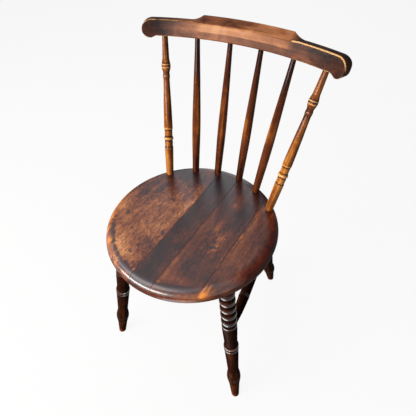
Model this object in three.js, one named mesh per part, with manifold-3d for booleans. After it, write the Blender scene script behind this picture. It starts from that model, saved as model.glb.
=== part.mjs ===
// A kitchen chair with a round board seat and a spindle back, in millimetres.
// +Z is up, the sitter faces -Y, and +X is on the right when the chair is seen from the front.
// The chair is laid out around the seat's centre line and then set over the middle of its own box.

import * as THREE from 'three';
import { mergeVertices } from 'three/addons/utils/BufferGeometryUtils.js';
import Module from 'manifold-3d';

// Seat: four boards glued edge to edge and turned round, since shrunk across the grain
const seatDepth = 380;
const seatWidth = 368;
const seatHeight = 449;
const seatThickness = 34;
const seatTopRound = 15;
const seatBottomRound = 11;
const seatTuck = 1.5;
const grainAngle = 1.8;
const leftCentreBoardWidth = 50;
const rightCentreBoardWidth = 84;
const leftSeamOffset = 26;

// Dowels across the seams
const dowelDiameter = 8;
const dowelLength = 40;
const dowelSpacing = 120;

// Legs: where they enter the seat, how far the feet splay, and how deep the tops go in
const frontLegSetback = 32;
const frontLegAngle = 55.8;
const frontFootSplay = 60.6;
const frontFootReach = 38;
const backLegSetback = 24;
const backLegAngle = 44.3;
const backFootSplay = 20;
const backFootReach = 136.8;
const legSocketDepth = 16;

// Leg turning, from the floor up
const footDiameter = 19.6;
const ankleLength = 48.8;
const ankleDiameter = 25.6;
const ankleBeadLength = 12;
const ankleBeadDiameter = 28.2;
const bulbRiseLength = 25.5;
const bulbDiameter = 34;
const bulbFallLength = 30;
const neckDiameter = 26.4;
const vaseLength = 86.2;
const vaseDiameter = 33.2;
const ringLength = 8.5;
const ringDiameter = 35;
const ringRootDiameter = 31.8;
const collarLength = 11.5;
const collarDiameter = 35.8;
const waistLength = 10.5;
const waistDiameter = 30.6;
const swellLength = 43.5;
const swellDiameter = 34;
const bandLength = 17.2;
const swellGrooveLength = 3.8;
const bobbinCount = 5;
const bobbinLength = 21.3;
const bobbinDiameter = 35;
const bobbinRootDiameter = 30.2;
const shoulderLength = 9.2;
const legTopLength = 8;
const legTopDiameter = 24;

// Stretchers between the legs
const stretcherHeight = 262;
const stretcherEndDiameter = 14.8;
const stretcherMiddleDiameter = 24.6;
const stretcherRiseLength = 72;
const stretcherRingLength = 4.6;
const stretcherRingDiameter = 26.2;
const stretcherCoreLength = 72;
const stretcherEndCover = 5;
const crossStretcherDiameter = 22;
const crossStretcherEndCover = 3;

// Back: the feet of the posts and spindles on the seat
const postSetback = 14.5;
const spindleSetback = 17;
const postAngle = 50.7;
const outerSpindleAngle = 28.9;
const innerSpindleAngle = 10;
const backSocketDepth = 13;

// Back: where the same pieces enter the crest rail, as distances from the chair's centre line
const postReach = 167.5;
const outerSpindleReach = 101.8;
const innerSpindleReach = 32.8;
const crestSocketDepth = 15;

// Spindle turning, from the seat up
const spindleFootDiameter = 16.2;
const spindleBellyHeight = 108.5;
const spindleBellyDiameter = 19.1;
const spindleShoulderHeight = 97;
const spindleShoulderDiameter = 15.2;
const spindleNeckHeight = 93;
const spindleTipDiameter = 10.3;

// Post turning, from the seat up
const postFootLength = 66;
const postFootDiameter = 17.2;
const postSwellDiameter = 20.2;
const postGrooveLength = 5;
const postCoveDiameter = 17.9;
const postRidgeLength = 12;
const postRidgeDiameter = 19;
const postBeadLength = 10;
const postBeadDiameter = 22.2;
const postHollowLength = 13;
const postMiddleDiameter = 20;
const postTaperLength = 109;
const postTaperMiddle = 17.3;
const postWaistDiameter = 13.5;
const postSmallBeadLength = 12.5;
const postSmallBeadDiameter = 15.2;
const postKnobRise = 14;
const postKnobDiameter = 19.8;
const postKnobFall = 16;
const postShaftDiameter = 14.5;
const postTopLength = 45.4;
const postTopDiameter = 11.8;

// Crest rail: bent to an arc, leaning back, with a raised middle and rounded ears
const backHeight = 293.3;
const crestOverhang = 26;
const crestRadius = 475;
const crestLean = 12.2;
const crestTilt = 0.45;
const crestOffset = -3;
const crestThickness = 19.7;
const crestHeight = 30.6;
const crestTopFall = 1.6;
const crestLength = 413.5;
const crestEdgeRound = 2.4;
const crestHumpHeight = 10;
const crestHumpLength = 181;
const crestHumpRun = 24;
const crestFold = 3.2;
const crestEndHeight = 10.5;
const crestEndRound = 20;
const crestEarDrop = 4.8;
const crestEarLength = 14;
const crestEarRun = 12.5;
const crestLastTurn = 88;

// Clearance that each loose-fitted or glued joint keeps all round
const clearance = 0.3;

// Smoothness of the turned and bent faces
const seatSides = 64;
const rimSteps = 3;
const legSides = 14;
const backSides = 12;
const stretcherSides = 12;
const dowelSides = 8;
const boreSides = 16;
const ringSteps = 2;
const beadSteps = 3;
const bobbinSteps = 4;
const bulbSteps = 7;
const swellSteps = 2;
const spindleSteps = 9;
const postSwellSteps = 4;
const knobSteps = 6;
const stretcherSwellSteps = 4;
const crossSwellSteps = 6;
const crestHumpSections = 5;
const crestRunSections = 3;
const crestPlainSections = 4;
const crestEndSections = 6;

// Share of its full rise that a swelling turning has reached half way up
const earlySwell = 2 / 3;

const seatUnderside = seatHeight - seatThickness;
const crestBottom = seatHeight + backHeight;
const upward = new THREE.Vector3(0, 0, 1);

const finishes = {
  seat: new THREE.MeshStandardMaterial({ color: 0x4a2f24, roughness: 0.32, metalness: 0 }),
  seatWorn: new THREE.MeshStandardMaterial({ color: 0x7a4a2e, roughness: 0.36, metalness: 0 }),
  back: new THREE.MeshStandardMaterial({ color: 0x5b2e18, roughness: 0.35, metalness: 0 }),
  post: new THREE.MeshStandardMaterial({ color: 0x9a5a22, roughness: 0.35, metalness: 0 }),
  leg: new THREE.MeshStandardMaterial({ color: 0x24160f, roughness: 0.3, metalness: 0 }),
  dowel: new THREE.MeshStandardMaterial({ color: 0xb08a5c, roughness: 0.8, metalness: 0 }),
};

const wasm = await Module();
wasm.setup();

function radians(degrees) {
  return THREE.MathUtils.degToRad(degrees);
}

// A geometry with its shared corners merged and its needle triangles at a pole left out.
function closed(geometry) {
  const bare = geometry.clone();
  bare.deleteAttribute('normal');
  bare.deleteAttribute('uv');
  const merged = mergeVertices(bare);
  const kept = [];
  for (let i = 0; i < merged.index.count; i += 3) {
    const [a, b, c] = [0, 1, 2].map((k) => merged.index.getX(i + k));
    if (a !== b && b !== c && c !== a) {
      kept.push(a, b, c);
    }
  }
  merged.setIndex(kept);
  return merged;
}

function toSolid(geometry) {
  const whole = closed(geometry);
  return new wasm.Manifold(new wasm.Mesh({
    numProp: 3,
    vertProperties: new Float32Array(whole.attributes.position.array),
    triVerts: new Uint32Array(whole.index.array),
  }));
}

function toGeometry(solid) {
  const cut = solid.getMesh();
  const geometry = new THREE.BufferGeometry();
  geometry.setAttribute('position', new THREE.BufferAttribute(cut.vertProperties, 3));
  geometry.setIndex(new THREE.BufferAttribute(cut.triVerts, 1));
  geometry.computeVertexNormals();
  return geometry;
}

// The outline of a turned piece, built up along its axis from one end.
class Turning {
  constructor(diameter) {
    this.points = [new THREE.Vector2(diameter / 2, 0)];
  }

  get last() {
    return this.points[this.points.length - 1];
  }

  // A straight cone to the next diameter.
  taper(length, diameter) {
    this.points.push(new THREE.Vector2(diameter / 2, this.last.y + length));
    return this;
  }

  // A smooth line through several stops, each given as a length and a diameter.
  flow(stops, steps) {
    const through = [this.last.clone()];
    let along = this.last.y;
    for (const [length, diameter] of stops) {
      along += length;
      through.push(new THREE.Vector2(diameter / 2, along));
    }
    this.points.push(...new THREE.SplineCurve(through).getPoints(steps).slice(1));
    return this;
  }

  // A half-round bead that rises from one diameter and falls back to another.
  bead(length, diameter, endDiameter, steps) {
    const start = this.last.clone();
    for (let i = 1; i <= steps; i += 1) {
      const turn = Math.PI * i / steps;
      const along = length * (1 - Math.cos(turn)) / 2;
      const root = THREE.MathUtils.lerp(start.x, endDiameter / 2, along / length);
      const rise = (diameter / 2 - Math.max(start.x, endDiameter / 2)) * Math.sin(turn);
      this.points.push(new THREE.Vector2(root + rise, start.y + along));
    }
    return this;
  }

  // The outline stretched to a length, with a straight end added at either side.
  outline(length, tailLength, headLength) {
    const stretch = length / this.last.y;
    const drawn = this.points.map((point) => new THREE.Vector2(point.x, point.y * stretch));
    const first = drawn[0];
    const final = drawn[drawn.length - 1];
    const ends = [];
    if (tailLength > 0) {
      ends.push(new THREE.Vector2(first.x, -tailLength));
    }
    drawn.unshift(new THREE.Vector2(0, -tailLength), ...ends);
    if (headLength > 0) {
      drawn.push(new THREE.Vector2(final.x, length + headLength));
    }
    drawn.push(new THREE.Vector2(0, length + headLength));
    return drawn;
  }
}

// The diameter half way up a swelling from one diameter to a larger one.
function halfWayUp(root, top) {
  return THREE.MathUtils.lerp(root, top, earlySwell);
}

function legTurning() {
  const turning = new Turning(footDiameter)
    .taper(ankleLength, ankleDiameter)
    .bead(ankleBeadLength, ankleBeadDiameter, ankleBeadDiameter, beadSteps)
    .flow([
      [bulbRiseLength / 2, halfWayUp(ankleBeadDiameter, bulbDiameter)],
      [bulbRiseLength / 2, bulbDiameter],
      [bulbFallLength / 2, halfWayUp(neckDiameter, bulbDiameter)],
      [bulbFallLength / 2, neckDiameter],
    ], bulbSteps)
    .taper(vaseLength, vaseDiameter)
    .bead(ringLength, ringDiameter, ringRootDiameter, beadSteps)
    .bead(collarLength, collarDiameter, waistDiameter, bobbinSteps)
    .taper(waistLength, waistDiameter)
    .flow([[swellLength, swellDiameter]], swellSteps)
    .taper(bandLength, swellDiameter)
    .taper(swellGrooveLength, bobbinRootDiameter);
  for (let i = 0; i < bobbinCount; i += 1) {
    turning.bead(bobbinLength, bobbinDiameter, bobbinRootDiameter, bobbinSteps);
  }
  return turning.taper(shoulderLength, legTopDiameter).taper(legTopLength, legTopDiameter);
}

function spindleTurning() {
  return new Turning(spindleFootDiameter).flow([
    [spindleBellyHeight, spindleBellyDiameter],
    [spindleShoulderHeight, spindleShoulderDiameter],
    [spindleNeckHeight, spindleTipDiameter],
  ], spindleSteps);
}

function postTurning() {
  return new Turning(postFootDiameter)
    .taper(postFootLength, postSwellDiameter)
    .taper(postGrooveLength, postCoveDiameter)
    .bead(postRidgeLength, postRidgeDiameter, postCoveDiameter, beadSteps)
    .bead(postBeadLength, postBeadDiameter, postCoveDiameter, bobbinSteps)
    .taper(postHollowLength, postCoveDiameter)
    .taper(postGrooveLength, postMiddleDiameter)
    .flow([
      [postTaperLength / 2, postTaperMiddle],
      [postTaperLength / 2, postWaistDiameter],
    ], postSwellSteps)
    .bead(postSmallBeadLength, postSmallBeadDiameter, postWaistDiameter, beadSteps)
    .flow([
      [postKnobRise, postKnobDiameter],
      [postKnobFall, postShaftDiameter],
    ], knobSteps)
    .taper(postTopLength, postTopDiameter);
}

// A side stretcher swells to a ringed middle from either end.
function sideStretcherTurning() {
  const half = stretcherRiseLength / 2;
  const rise = [half, halfWayUp(stretcherEndDiameter, stretcherMiddleDiameter)];
  const rings = (turning) => turning
    .bead(stretcherRingLength, stretcherRingDiameter, stretcherMiddleDiameter, ringSteps)
    .bead(stretcherRingLength, stretcherRingDiameter, stretcherMiddleDiameter, ringSteps);
  const turning = new Turning(stretcherEndDiameter)
    .flow([rise, [half, stretcherMiddleDiameter]], stretcherSwellSteps);
  rings(turning).taper(stretcherCoreLength, stretcherMiddleDiameter);
  return rings(turning).flow([rise, [half, stretcherEndDiameter]], stretcherSwellSteps);
}

function crossStretcherTurning(length) {
  return new Turning(stretcherEndDiameter).flow([
    [length / 2, crossStretcherDiameter],
    [length / 2, stretcherEndDiameter],
  ], crossSwellSteps);
}

function lathe(outline, sides) {
  return new THREE.LatheGeometry(outline, sides).rotateX(Math.PI / 2);
}

// A turned mesh set on the line between two points, with its outline measured from the first.
function turnedMesh(name, from, to, turning, tailLength, headLength, sides, finish) {
  const reach = new THREE.Vector3().subVectors(to, from);
  const outline = turning.outline(reach.length(), tailLength, headLength);
  const mesh = new THREE.Mesh(lathe(outline, sides), finish);
  mesh.name = name;
  mesh.position.copy(from);
  mesh.quaternion.setFromUnitVectors(upward, reach.normalize());
  return mesh;
}

// A round bore along the line from one point towards another, open at the far end.
function bore(bottom, towards, diameter, length) {
  const direction = new THREE.Vector3().subVectors(towards, bottom).normalize();
  const radius = (diameter / 2 + clearance) / Math.cos(Math.PI / boreSides);
  const geometry = new THREE.CylinderGeometry(radius, radius, length, boreSides);
  geometry.rotateX(Math.PI / 2);
  geometry.translate(0, 0, length / 2 - clearance);
  geometry.applyQuaternion(new THREE.Quaternion().setFromUnitVectors(upward, direction));
  geometry.translate(bottom.x, bottom.y, bottom.z);
  return geometry;
}

// A point beyond the end of a line, further along it.
function beyond(from, to, extra) {
  const direction = new THREE.Vector3().subVectors(to, from).normalize();
  return to.clone().addScaledVector(direction, extra);
}

function cutFrom(mesh, cutters) {
  mesh.updateMatrix();
  const inward = mesh.matrix.clone().invert();
  let solid = toSolid(mesh.geometry);
  for (const cutter of cutters) {
    solid = solid.subtract(toSolid(cutter.clone().applyMatrix4(inward)));
  }
  mesh.geometry = toGeometry(solid);
}

// A point on the seat's plan at a distance in from its edge, at an angle from the Y axis.
function seatPlace(setback, angle, side, end, height) {
  const across = (seatWidth / 2 - setback) * Math.sin(radians(angle));
  const along = (seatDepth / 2 - setback) * Math.cos(radians(angle));
  return new THREE.Vector3(side * across, end * along, height);
}

// A point of the crest rail: distance from the centre line, depth behind its front face, and height.
function crestPlace(across, depth, height) {
  const centre = seatDepth / 2 + crestOverhang - crestRadius;
  const turn = Math.asin(across / crestRadius);
  const leaning = (height - crestBottom) * Math.tan(radians(crestLean));
  const radius = crestRadius + depth / Math.cos(radians(crestLean)) + leaning;
  const drop = across * Math.tan(radians(crestTilt));
  return new THREE.Vector3(radius * Math.sin(turn), centre + radius * Math.cos(turn), height - drop);
}

// Height of the crest rail's lower edge, which drops in an ear near each end and closes the end.
function crestLowerEdge(across) {
  const earAt = crestLength / 2 - crestEarLength;
  const earBottom = crestBottom - crestEarDrop;
  if (across <= earAt) {
    return crestBottom - crestEarDrop * THREE.MathUtils.smoothstep(across, earAt - crestEarRun, earAt);
  }
  const closing = (across - earAt) / crestEarLength;
  const middle = crestBottom + crestEndHeight;
  return middle - (middle - earBottom) * Math.sqrt(1 - closing ** 2);
}

// Height of the crest rail's upper edge at its front or back face.
function crestUpperEdge(across, front) {
  const past = THREE.MathUtils.clamp((across - crestHumpLength / 2) / crestHumpRun, 0, 1);
  const hump = (1 - past) ** 2;
  const plain = crestBottom + crestHeight - (front ? 0 : crestTopFall);
  const top = plain + hump * (front ? -crestFold : crestHumpHeight);
  const roundFrom = crestLength / 2 - crestEndRound;
  if (across <= roundFrom) {
    return top;
  }
  const closing = (across - roundFrom) / crestEndRound;
  const middle = crestBottom + crestEndHeight;
  return middle + (top - middle) * Math.sqrt(1 - closing ** 2);
}

// Evenly spaced values from one to another, without the last.
function spread(from, to, count) {
  return Array.from({ length: count }, (_, i) => THREE.MathUtils.lerp(from, to, i / count));
}

// Where the crest rail's sections lie, as distances from its own middle.
function crestStations() {
  const half = crestLength / 2;
  const humpEnd = crestHumpLength / 2;
  const earAt = half - crestEarLength;
  const lastTurn = radians(crestLastTurn);
  const endTurns = [...spread(0, lastTurn, crestEndSections), lastTurn];
  const right = [
    ...spread(0, humpEnd, crestHumpSections),
    ...spread(humpEnd, humpEnd + crestHumpRun, crestRunSections),
    ...spread(humpEnd + crestHumpRun, earAt - crestEarRun, crestPlainSections),
    ...spread(earAt - crestEarRun, earAt, crestRunSections),
    ...endTurns.map((turn) => earAt + crestEarLength * Math.sin(turn)),
  ];
  const left = right.slice(1).map((across) => -across).reverse();
  return [...left, ...right];
}

// A box whose sections are moved to the rail's own, with each long corner rounded off.
// Each section has a corner face between its two flat faces, so it is parted in three both ways.
function crestMesh() {
  const stations = crestStations();
  const bays = stations.length - 1;
  const parts = 3;
  const geometry = new THREE.BoxGeometry(bays, parts, parts, bays, parts, parts);
  geometry.translate(bays / 2, parts / 2, parts / 2);
  const position = geometry.attributes.position;
  for (let i = 0; i < position.count; i += 1) {
    const across = stations[Math.round(position.getX(i))];
    const depthStep = Math.round(position.getY(i));
    const heightStep = Math.round(position.getZ(i));
    const low = crestLowerEdge(Math.abs(across));
    const frontHigh = crestUpperEdge(Math.abs(across), true);
    const backHigh = crestUpperEdge(Math.abs(across), false);
    const round = Math.min(crestEdgeRound, (Math.min(frontHigh, backHigh) - low) / parts);
    const atCorner = depthStep % parts === 0 && heightStep % parts === 0;
    const inset = atCorner ? round * (1 - Math.SQRT1_2) : 0;
    const depth = [inset, round, crestThickness - round, crestThickness - inset][depthStep];
    const high = THREE.MathUtils.lerp(frontHigh, backHigh, depth / crestThickness);
    const height = [low + inset, low + round, high - round, high - inset][heightStep];
    const place = crestPlace(crestOffset + across, depth, height);
    position.setXYZ(i, place.x, place.y, place.z);
  }
  const mesh = new THREE.Mesh(geometry, finishes.back);
  mesh.name = 'crest_rail';
  return mesh;
}

// The seat before it is parted into boards: a disc with rounded edges, narrower across the grain.
function seatBlank() {
  const radius = seatDepth / 2;
  const outline = [new THREE.Vector2(0, 0)];
  for (let i = 0; i <= rimSteps; i += 1) {
    const turn = Math.PI / 2 * i / rimSteps;
    outline.push(new THREE.Vector2(
      radius - seatTuck - seatBottomRound * (1 - Math.sin(turn)),
      seatBottomRound * (1 - Math.cos(turn)),
    ));
  }
  for (let i = 0; i <= rimSteps; i += 1) {
    const turn = Math.PI / 2 * i / rimSteps;
    outline.push(new THREE.Vector2(
      radius - seatTopRound * (1 - Math.cos(turn)),
      seatThickness - seatTopRound * (1 - Math.sin(turn)),
    ));
  }
  outline.push(new THREE.Vector2(0, seatThickness));
  const geometry = lathe(outline, seatSides).translate(0, 0, seatUnderside);
  return geometry.scale(seatWidth / seatDepth, 1, 1);
}

// A block that fills one board's width, laid along the grain.
function boardBlock(left, right) {
  const block = new THREE.BoxGeometry(right - left, 2 * seatDepth, 2 * seatHeight);
  block.translate((left + right) / 2, 0, seatHeight);
  block.rotateZ(-radians(grainAngle));
  return block;
}

// Seat boards and their dowels
const chair = new THREE.Group();
const seams = [
  -leftSeamOffset,
  leftCentreBoardWidth - leftSeamOffset,
  leftCentreBoardWidth + rightCentreBoardWidth - leftSeamOffset,
];

function dowelPlace(seam, end) {
  const place = new THREE.Vector3(seam, end * dowelSpacing / 2, seatHeight - seatThickness / 2);
  return place.applyAxisAngle(upward, -radians(grainAngle));
}

function dowelMesh(name, place, grow) {
  const radius = dowelDiameter / 2 + grow;
  const geometry = new THREE.CylinderGeometry(radius, radius, dowelLength + 2 * grow, dowelSides);
  geometry.rotateZ(Math.PI / 2);
  const mesh = new THREE.Mesh(geometry, finishes.dowel);
  mesh.name = name;
  mesh.position.copy(place);
  mesh.rotation.z = -radians(grainAngle);
  return mesh;
}

const seatCutters = [];
for (const seam of seams) {
  for (const end of [-1, 1]) {
    const place = dowelPlace(seam, end);
    const count = seatCutters.length + 1;
    chair.add(dowelMesh(`seat_dowel_${count}`, place, 0));
    const cutter = dowelMesh('bore', place, clearance);
    cutter.updateMatrix();
    seatCutters.push(cutter.geometry.applyMatrix4(cutter.matrix));
  }
}

// Legs, from the floor to the seat
const floorBlock = new THREE.BoxGeometry(4 * seatDepth, 4 * seatDepth, seatHeight);
floorBlock.translate(0, 0, -seatHeight / 2);

const legPlaces = {};
for (const [sideName, side] of [['left', -1], ['right', 1]]) {
  for (const [endName, end] of [['front', -1], ['back', 1]]) {
    const front = end < 0;
    const setback = front ? frontLegSetback : backLegSetback;
    const angle = front ? frontLegAngle : backLegAngle;
    const top = seatPlace(setback, angle, side, end, seatUnderside);
    const foot = new THREE.Vector3(
      top.x + side * (front ? frontFootSplay : backFootSplay),
      top.y + end * (front ? frontFootReach : backFootReach),
      0,
    );
    legPlaces[`${endName}_${sideName}`] = { foot, top };
  }
}

// The point of a leg's axis at the height of the stretchers.
function stretcherPlace(key) {
  const { foot, top } = legPlaces[key];
  return foot.clone().lerp(top, stretcherHeight / seatUnderside);
}

// Side stretchers, whose tenons stop short of the legs' axes
const legCutters = {};
const sideMiddles = {};
for (const side of ['left', 'right']) {
  const frontAxis = stretcherPlace(`front_${side}`);
  const backAxis = stretcherPlace(`back_${side}`);
  const from = beyond(backAxis, frontAxis, -collarDiameter / 2);
  const to = beyond(frontAxis, backAxis, -collarDiameter / 2);
  const tenon = collarDiameter / 2 - stretcherEndCover;
  const mesh = turnedMesh(
    `stretcher_${side}`, from, to, sideStretcherTurning(), tenon, tenon,
    stretcherSides, finishes.leg,
  );
  sideMiddles[side] = { mesh, middle: from.clone().lerp(to, 0.5) };
  legCutters[`front_${side}`] = bore(beyond(to, from, tenon), to, stretcherEndDiameter, collarDiameter);
  legCutters[`back_${side}`] = bore(beyond(from, to, tenon), from, stretcherEndDiameter, collarDiameter);
  chair.add(mesh);
}

// Cross stretcher between the middles of the side stretchers
const { left: leftSide, right: rightSide } = sideMiddles;
const crossFrom = beyond(rightSide.middle, leftSide.middle, -stretcherMiddleDiameter / 2);
const crossTo = beyond(leftSide.middle, rightSide.middle, -stretcherMiddleDiameter / 2);
const crossTenon = stretcherMiddleDiameter / 2 - crossStretcherEndCover;
chair.add(turnedMesh(
  'stretcher_cross', crossFrom, crossTo, crossStretcherTurning(crossFrom.distanceTo(crossTo)),
  crossTenon, crossTenon, stretcherSides, finishes.leg,
));
cutFrom(leftSide.mesh, [
  bore(beyond(crossTo, crossFrom, crossTenon), crossTo, stretcherEndDiameter, stretcherMiddleDiameter),
]);
cutFrom(rightSide.mesh, [
  bore(beyond(crossFrom, crossTo, crossTenon), crossFrom, stretcherEndDiameter, stretcherMiddleDiameter),
]);

for (const [key, { foot, top }] of Object.entries(legPlaces)) {
  const leg = turnedMesh(
    `leg_${key}`, foot, top, legTurning(), footDiameter, legSocketDepth, legSides, finishes.leg,
  );
  cutFrom(leg, [floorBlock, legCutters[key]]);
  chair.add(leg);
  const end = beyond(foot, top, legSocketDepth);
  seatCutters.push(bore(end, foot, legTopDiameter, 2 * legSocketDepth));
}

// Posts and spindles, from the seat to the crest rail
const crest = crestMesh();
const crestCutters = [];
const backPieces = [
  ['post_left', -1, postAngle, postReach],
  ['spindle_1', -1, outerSpindleAngle, outerSpindleReach],
  ['spindle_2', -1, innerSpindleAngle, innerSpindleReach],
  ['spindle_3', 1, innerSpindleAngle, innerSpindleReach],
  ['spindle_4', 1, outerSpindleAngle, outerSpindleReach],
  ['post_right', 1, postAngle, postReach],
];
for (const [name, side, angle, reach] of backPieces) {
  const isPost = name.startsWith('post');
  const from = seatPlace(isPost ? postSetback : spindleSetback, angle, side, 1, seatHeight);
  const to = crestPlace(side * reach, crestThickness / 2, crestBottom);
  const footDiameterHere = isPost ? postFootDiameter : spindleFootDiameter;
  const tipDiameterHere = isPost ? postTopDiameter : spindleTipDiameter;
  chair.add(turnedMesh(
    name, from, to, isPost ? postTurning() : spindleTurning(), backSocketDepth, crestSocketDepth,
    backSides, isPost ? finishes.post : finishes.back,
  ));
  const lowEnd = beyond(to, from, backSocketDepth);
  const highEnd = beyond(from, to, crestSocketDepth);
  seatCutters.push(bore(lowEnd, highEnd, footDiameterHere, 2 * backSocketDepth));
  crestCutters.push(bore(highEnd, lowEnd, tipDiameterHere, 2 * crestSocketDepth));
}
cutFrom(crest, crestCutters);
chair.add(crest);

// The bored seat blank is parted into its boards
let blank = toSolid(seatBlank());
for (const cutter of seatCutters) {
  blank = blank.subtract(toSolid(cutter));
}
const boardEdges = [-seatDepth, ...seams, seatDepth];
const boardNames = ['left', 'left_centre', 'right_centre', 'right'];
boardNames.forEach((boardName, i) => {
  const block = boardBlock(boardEdges[i] + clearance / 2, boardEdges[i + 1] - clearance / 2);
  const mesh = new THREE.Mesh(
    toGeometry(blank.intersect(toSolid(block))),
    boardName === 'left' ? finishes.seatWorn : finishes.seat,
  );
  mesh.name = `seat_board_${boardName}`;
  chair.add(mesh);
});

// The whole chair stands over the middle of its own box
const box = new THREE.Box3().setFromObject(chair, true);
chair.position.set(-(box.min.x + box.max.x) / 2, -(box.min.y + box.max.y) / 2, 0);

export default chair;
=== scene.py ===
"""A round-seat, spindle-back kitchen chair in dark varnished wood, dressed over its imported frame.

Sizes inside the classes are millimetres around the seat's centre line, with +Z up and the sitter
facing -Y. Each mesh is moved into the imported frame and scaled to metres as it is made.
"""

import logging
import math
from dataclasses import dataclass
from enum import Enum

import bpy
import numpy as np
from mathutils import Matrix, Vector


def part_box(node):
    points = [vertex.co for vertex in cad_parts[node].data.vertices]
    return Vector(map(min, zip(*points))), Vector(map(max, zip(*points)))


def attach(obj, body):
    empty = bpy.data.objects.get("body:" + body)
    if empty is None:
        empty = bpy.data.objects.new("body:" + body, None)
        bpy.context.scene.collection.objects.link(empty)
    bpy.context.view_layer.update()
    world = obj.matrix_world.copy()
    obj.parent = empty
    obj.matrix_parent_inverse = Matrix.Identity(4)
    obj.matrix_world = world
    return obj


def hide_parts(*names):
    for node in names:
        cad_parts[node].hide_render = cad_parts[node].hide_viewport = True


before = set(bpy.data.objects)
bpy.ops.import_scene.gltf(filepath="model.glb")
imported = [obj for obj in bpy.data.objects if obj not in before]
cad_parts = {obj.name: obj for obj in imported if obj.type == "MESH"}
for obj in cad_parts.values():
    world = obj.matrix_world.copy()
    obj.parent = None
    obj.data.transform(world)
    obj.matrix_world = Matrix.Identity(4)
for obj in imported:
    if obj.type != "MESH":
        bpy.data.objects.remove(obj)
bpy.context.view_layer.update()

MM = 0.001
log = logging.getLogger("chair")

# A pair is mostly a form's length and diameter, a step is a weight and the two places between which
# it comes on, an arc is four angles, a grid holds numbers for many points, and a feed goes into a socket
Colour = Place = Step = tuple[float, float, float]
Pair = tuple[float, float]
Arc = tuple[float, float, float, float]
Grid = np.ndarray
Material = bpy.types.Material
Socket = bpy.types.NodeSocket
Feed = Socket | float | Colour


class Slot(Enum):
    """The record's material slots."""

    SEAT_LEFT = "seat_left_wood"
    SEAT = "seat_wood"
    CREST = "crest_wood"
    SPINDLE = "spindle_wood"
    POST = "post_wood"
    LEG = "leg_wood"
    DOWEL = "dowel_wood"


class Side(Enum):
    """Left or right when the chair is seen from the front."""

    LEFT = -1
    RIGHT = 1


class End(Enum):
    """The front or the back of the seat."""

    FRONT = -1
    BACK = 1


def seat_origin() -> Grid:
    """The seat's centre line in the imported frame, from the middle of its boards' box.

    Returns:
        Its place on the floor, in metres.
    """
    boxes = [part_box(f"seat_board_{name}") for name in Seat.boards]
    low = np.min([tuple(low) for low, high in boxes], axis=0)
    high = np.max([tuple(high) for low, high in boxes], axis=0)
    return np.array([(low[0] + high[0]) / 2, (low[1] + high[1]) / 2, 0.0])


def smooth(value: Grid, low: float | Grid, high: float | Grid) -> Grid:
    """A smooth step: 0 below low, 1 above high, 3t^2 - 2t^3 between, with t the share of the way."""
    t = np.clip((value - low) / (high - low), 0.0, 1.0)
    return t * t * (3 - 2 * t)


def bell(value: Grid, centre: float, width: float) -> Grid:
    """A bell: e to the minus square of the distance from its centre over its width."""
    return np.exp(-(((value - centre) / width) ** 2))


def rising(value: Grid, step: Step) -> Grid:
    """A weight times the smooth step between two numbers."""
    return step[0] * smooth(value, *step[1:])


def falling(value: Grid, step: Step) -> Grid:
    """A weight times one minus the smooth step between two numbers."""
    return step[0] * (1 - smooth(value, *step[1:]))


def band(value: Grid, arc: Arc) -> Grid:
    """1 between the middle two numbers of an arc, with a smooth step down to 0 at the outer two."""
    return smooth(value, arc[0], arc[1]) * (1 - smooth(value, arc[2], arc[3]))


def added(name: str, data: bpy.types.ID) -> bpy.types.Object:
    """A new object in the scene.

    Args:
        name: Its name.
        data: Its mesh, lamp or camera.

    Returns:
        The object.
    """
    made = bpy.data.objects.new(name, data)
    bpy.context.scene.collection.objects.link(made)
    return made


@dataclass
class Surface:
    """A closed surface as a grid of points, rows along the piece by columns round it.

    Attributes:
        points: Row, column and the three coordinates, in millimetres.
        grain: The same grid in the wood's own directions, with +Z along the fibres, in millimetres.
        marks: Numbers on each point that the finish reads, by name.
    """

    points: Grid
    grain: Grid
    marks: dict[str, Grid]

    def with_caps(self) -> "Surface":
        """The flat grids with one more point at the middle of each end row, where a fan closes it.

        Returns:
            The surface with a row of points in place of its grid.
        """
        def capped(grid: Grid) -> Grid:
            """One flat grid and its two middle points."""
            ends = np.stack([grid[0].mean(axis=0), grid[-1].mean(axis=0)])
            return np.concatenate([grid.reshape(-1, *grid.shape[2:]), ends])

        marks = {name: capped(values) for name, values in self.marks.items()}
        return Surface(capped(self.points), capped(self.grain), marks)

    def faces(self) -> list[list[int]]:
        """Quads between the rows and a fan of triangles over each end, facing outwards.

        Returns:
            Corner numbers of every face, for a grid whose columns turn to the left round its rows.
        """
        rows, columns = self.points.shape[:2]
        i, j = np.meshgrid(np.arange(rows - 1), np.arange(columns), indexing="ij")
        k = (j + 1) % columns
        here, above = i * columns, (i + 1) * columns
        quads = np.stack([here + j, here + k, above + k, above + j], axis=-1)
        j = np.arange(columns)
        k = (j + 1) % columns
        last = (rows - 1) * columns
        first_fan = np.stack([k, j, np.full(columns, rows * columns)], axis=-1)
        last_fan = np.stack([last + j, last + k, np.full(columns, rows * columns + 1)], axis=-1)
        return quads.reshape(-1, 4).tolist() + first_fan.tolist() + last_fan.tolist()


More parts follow.
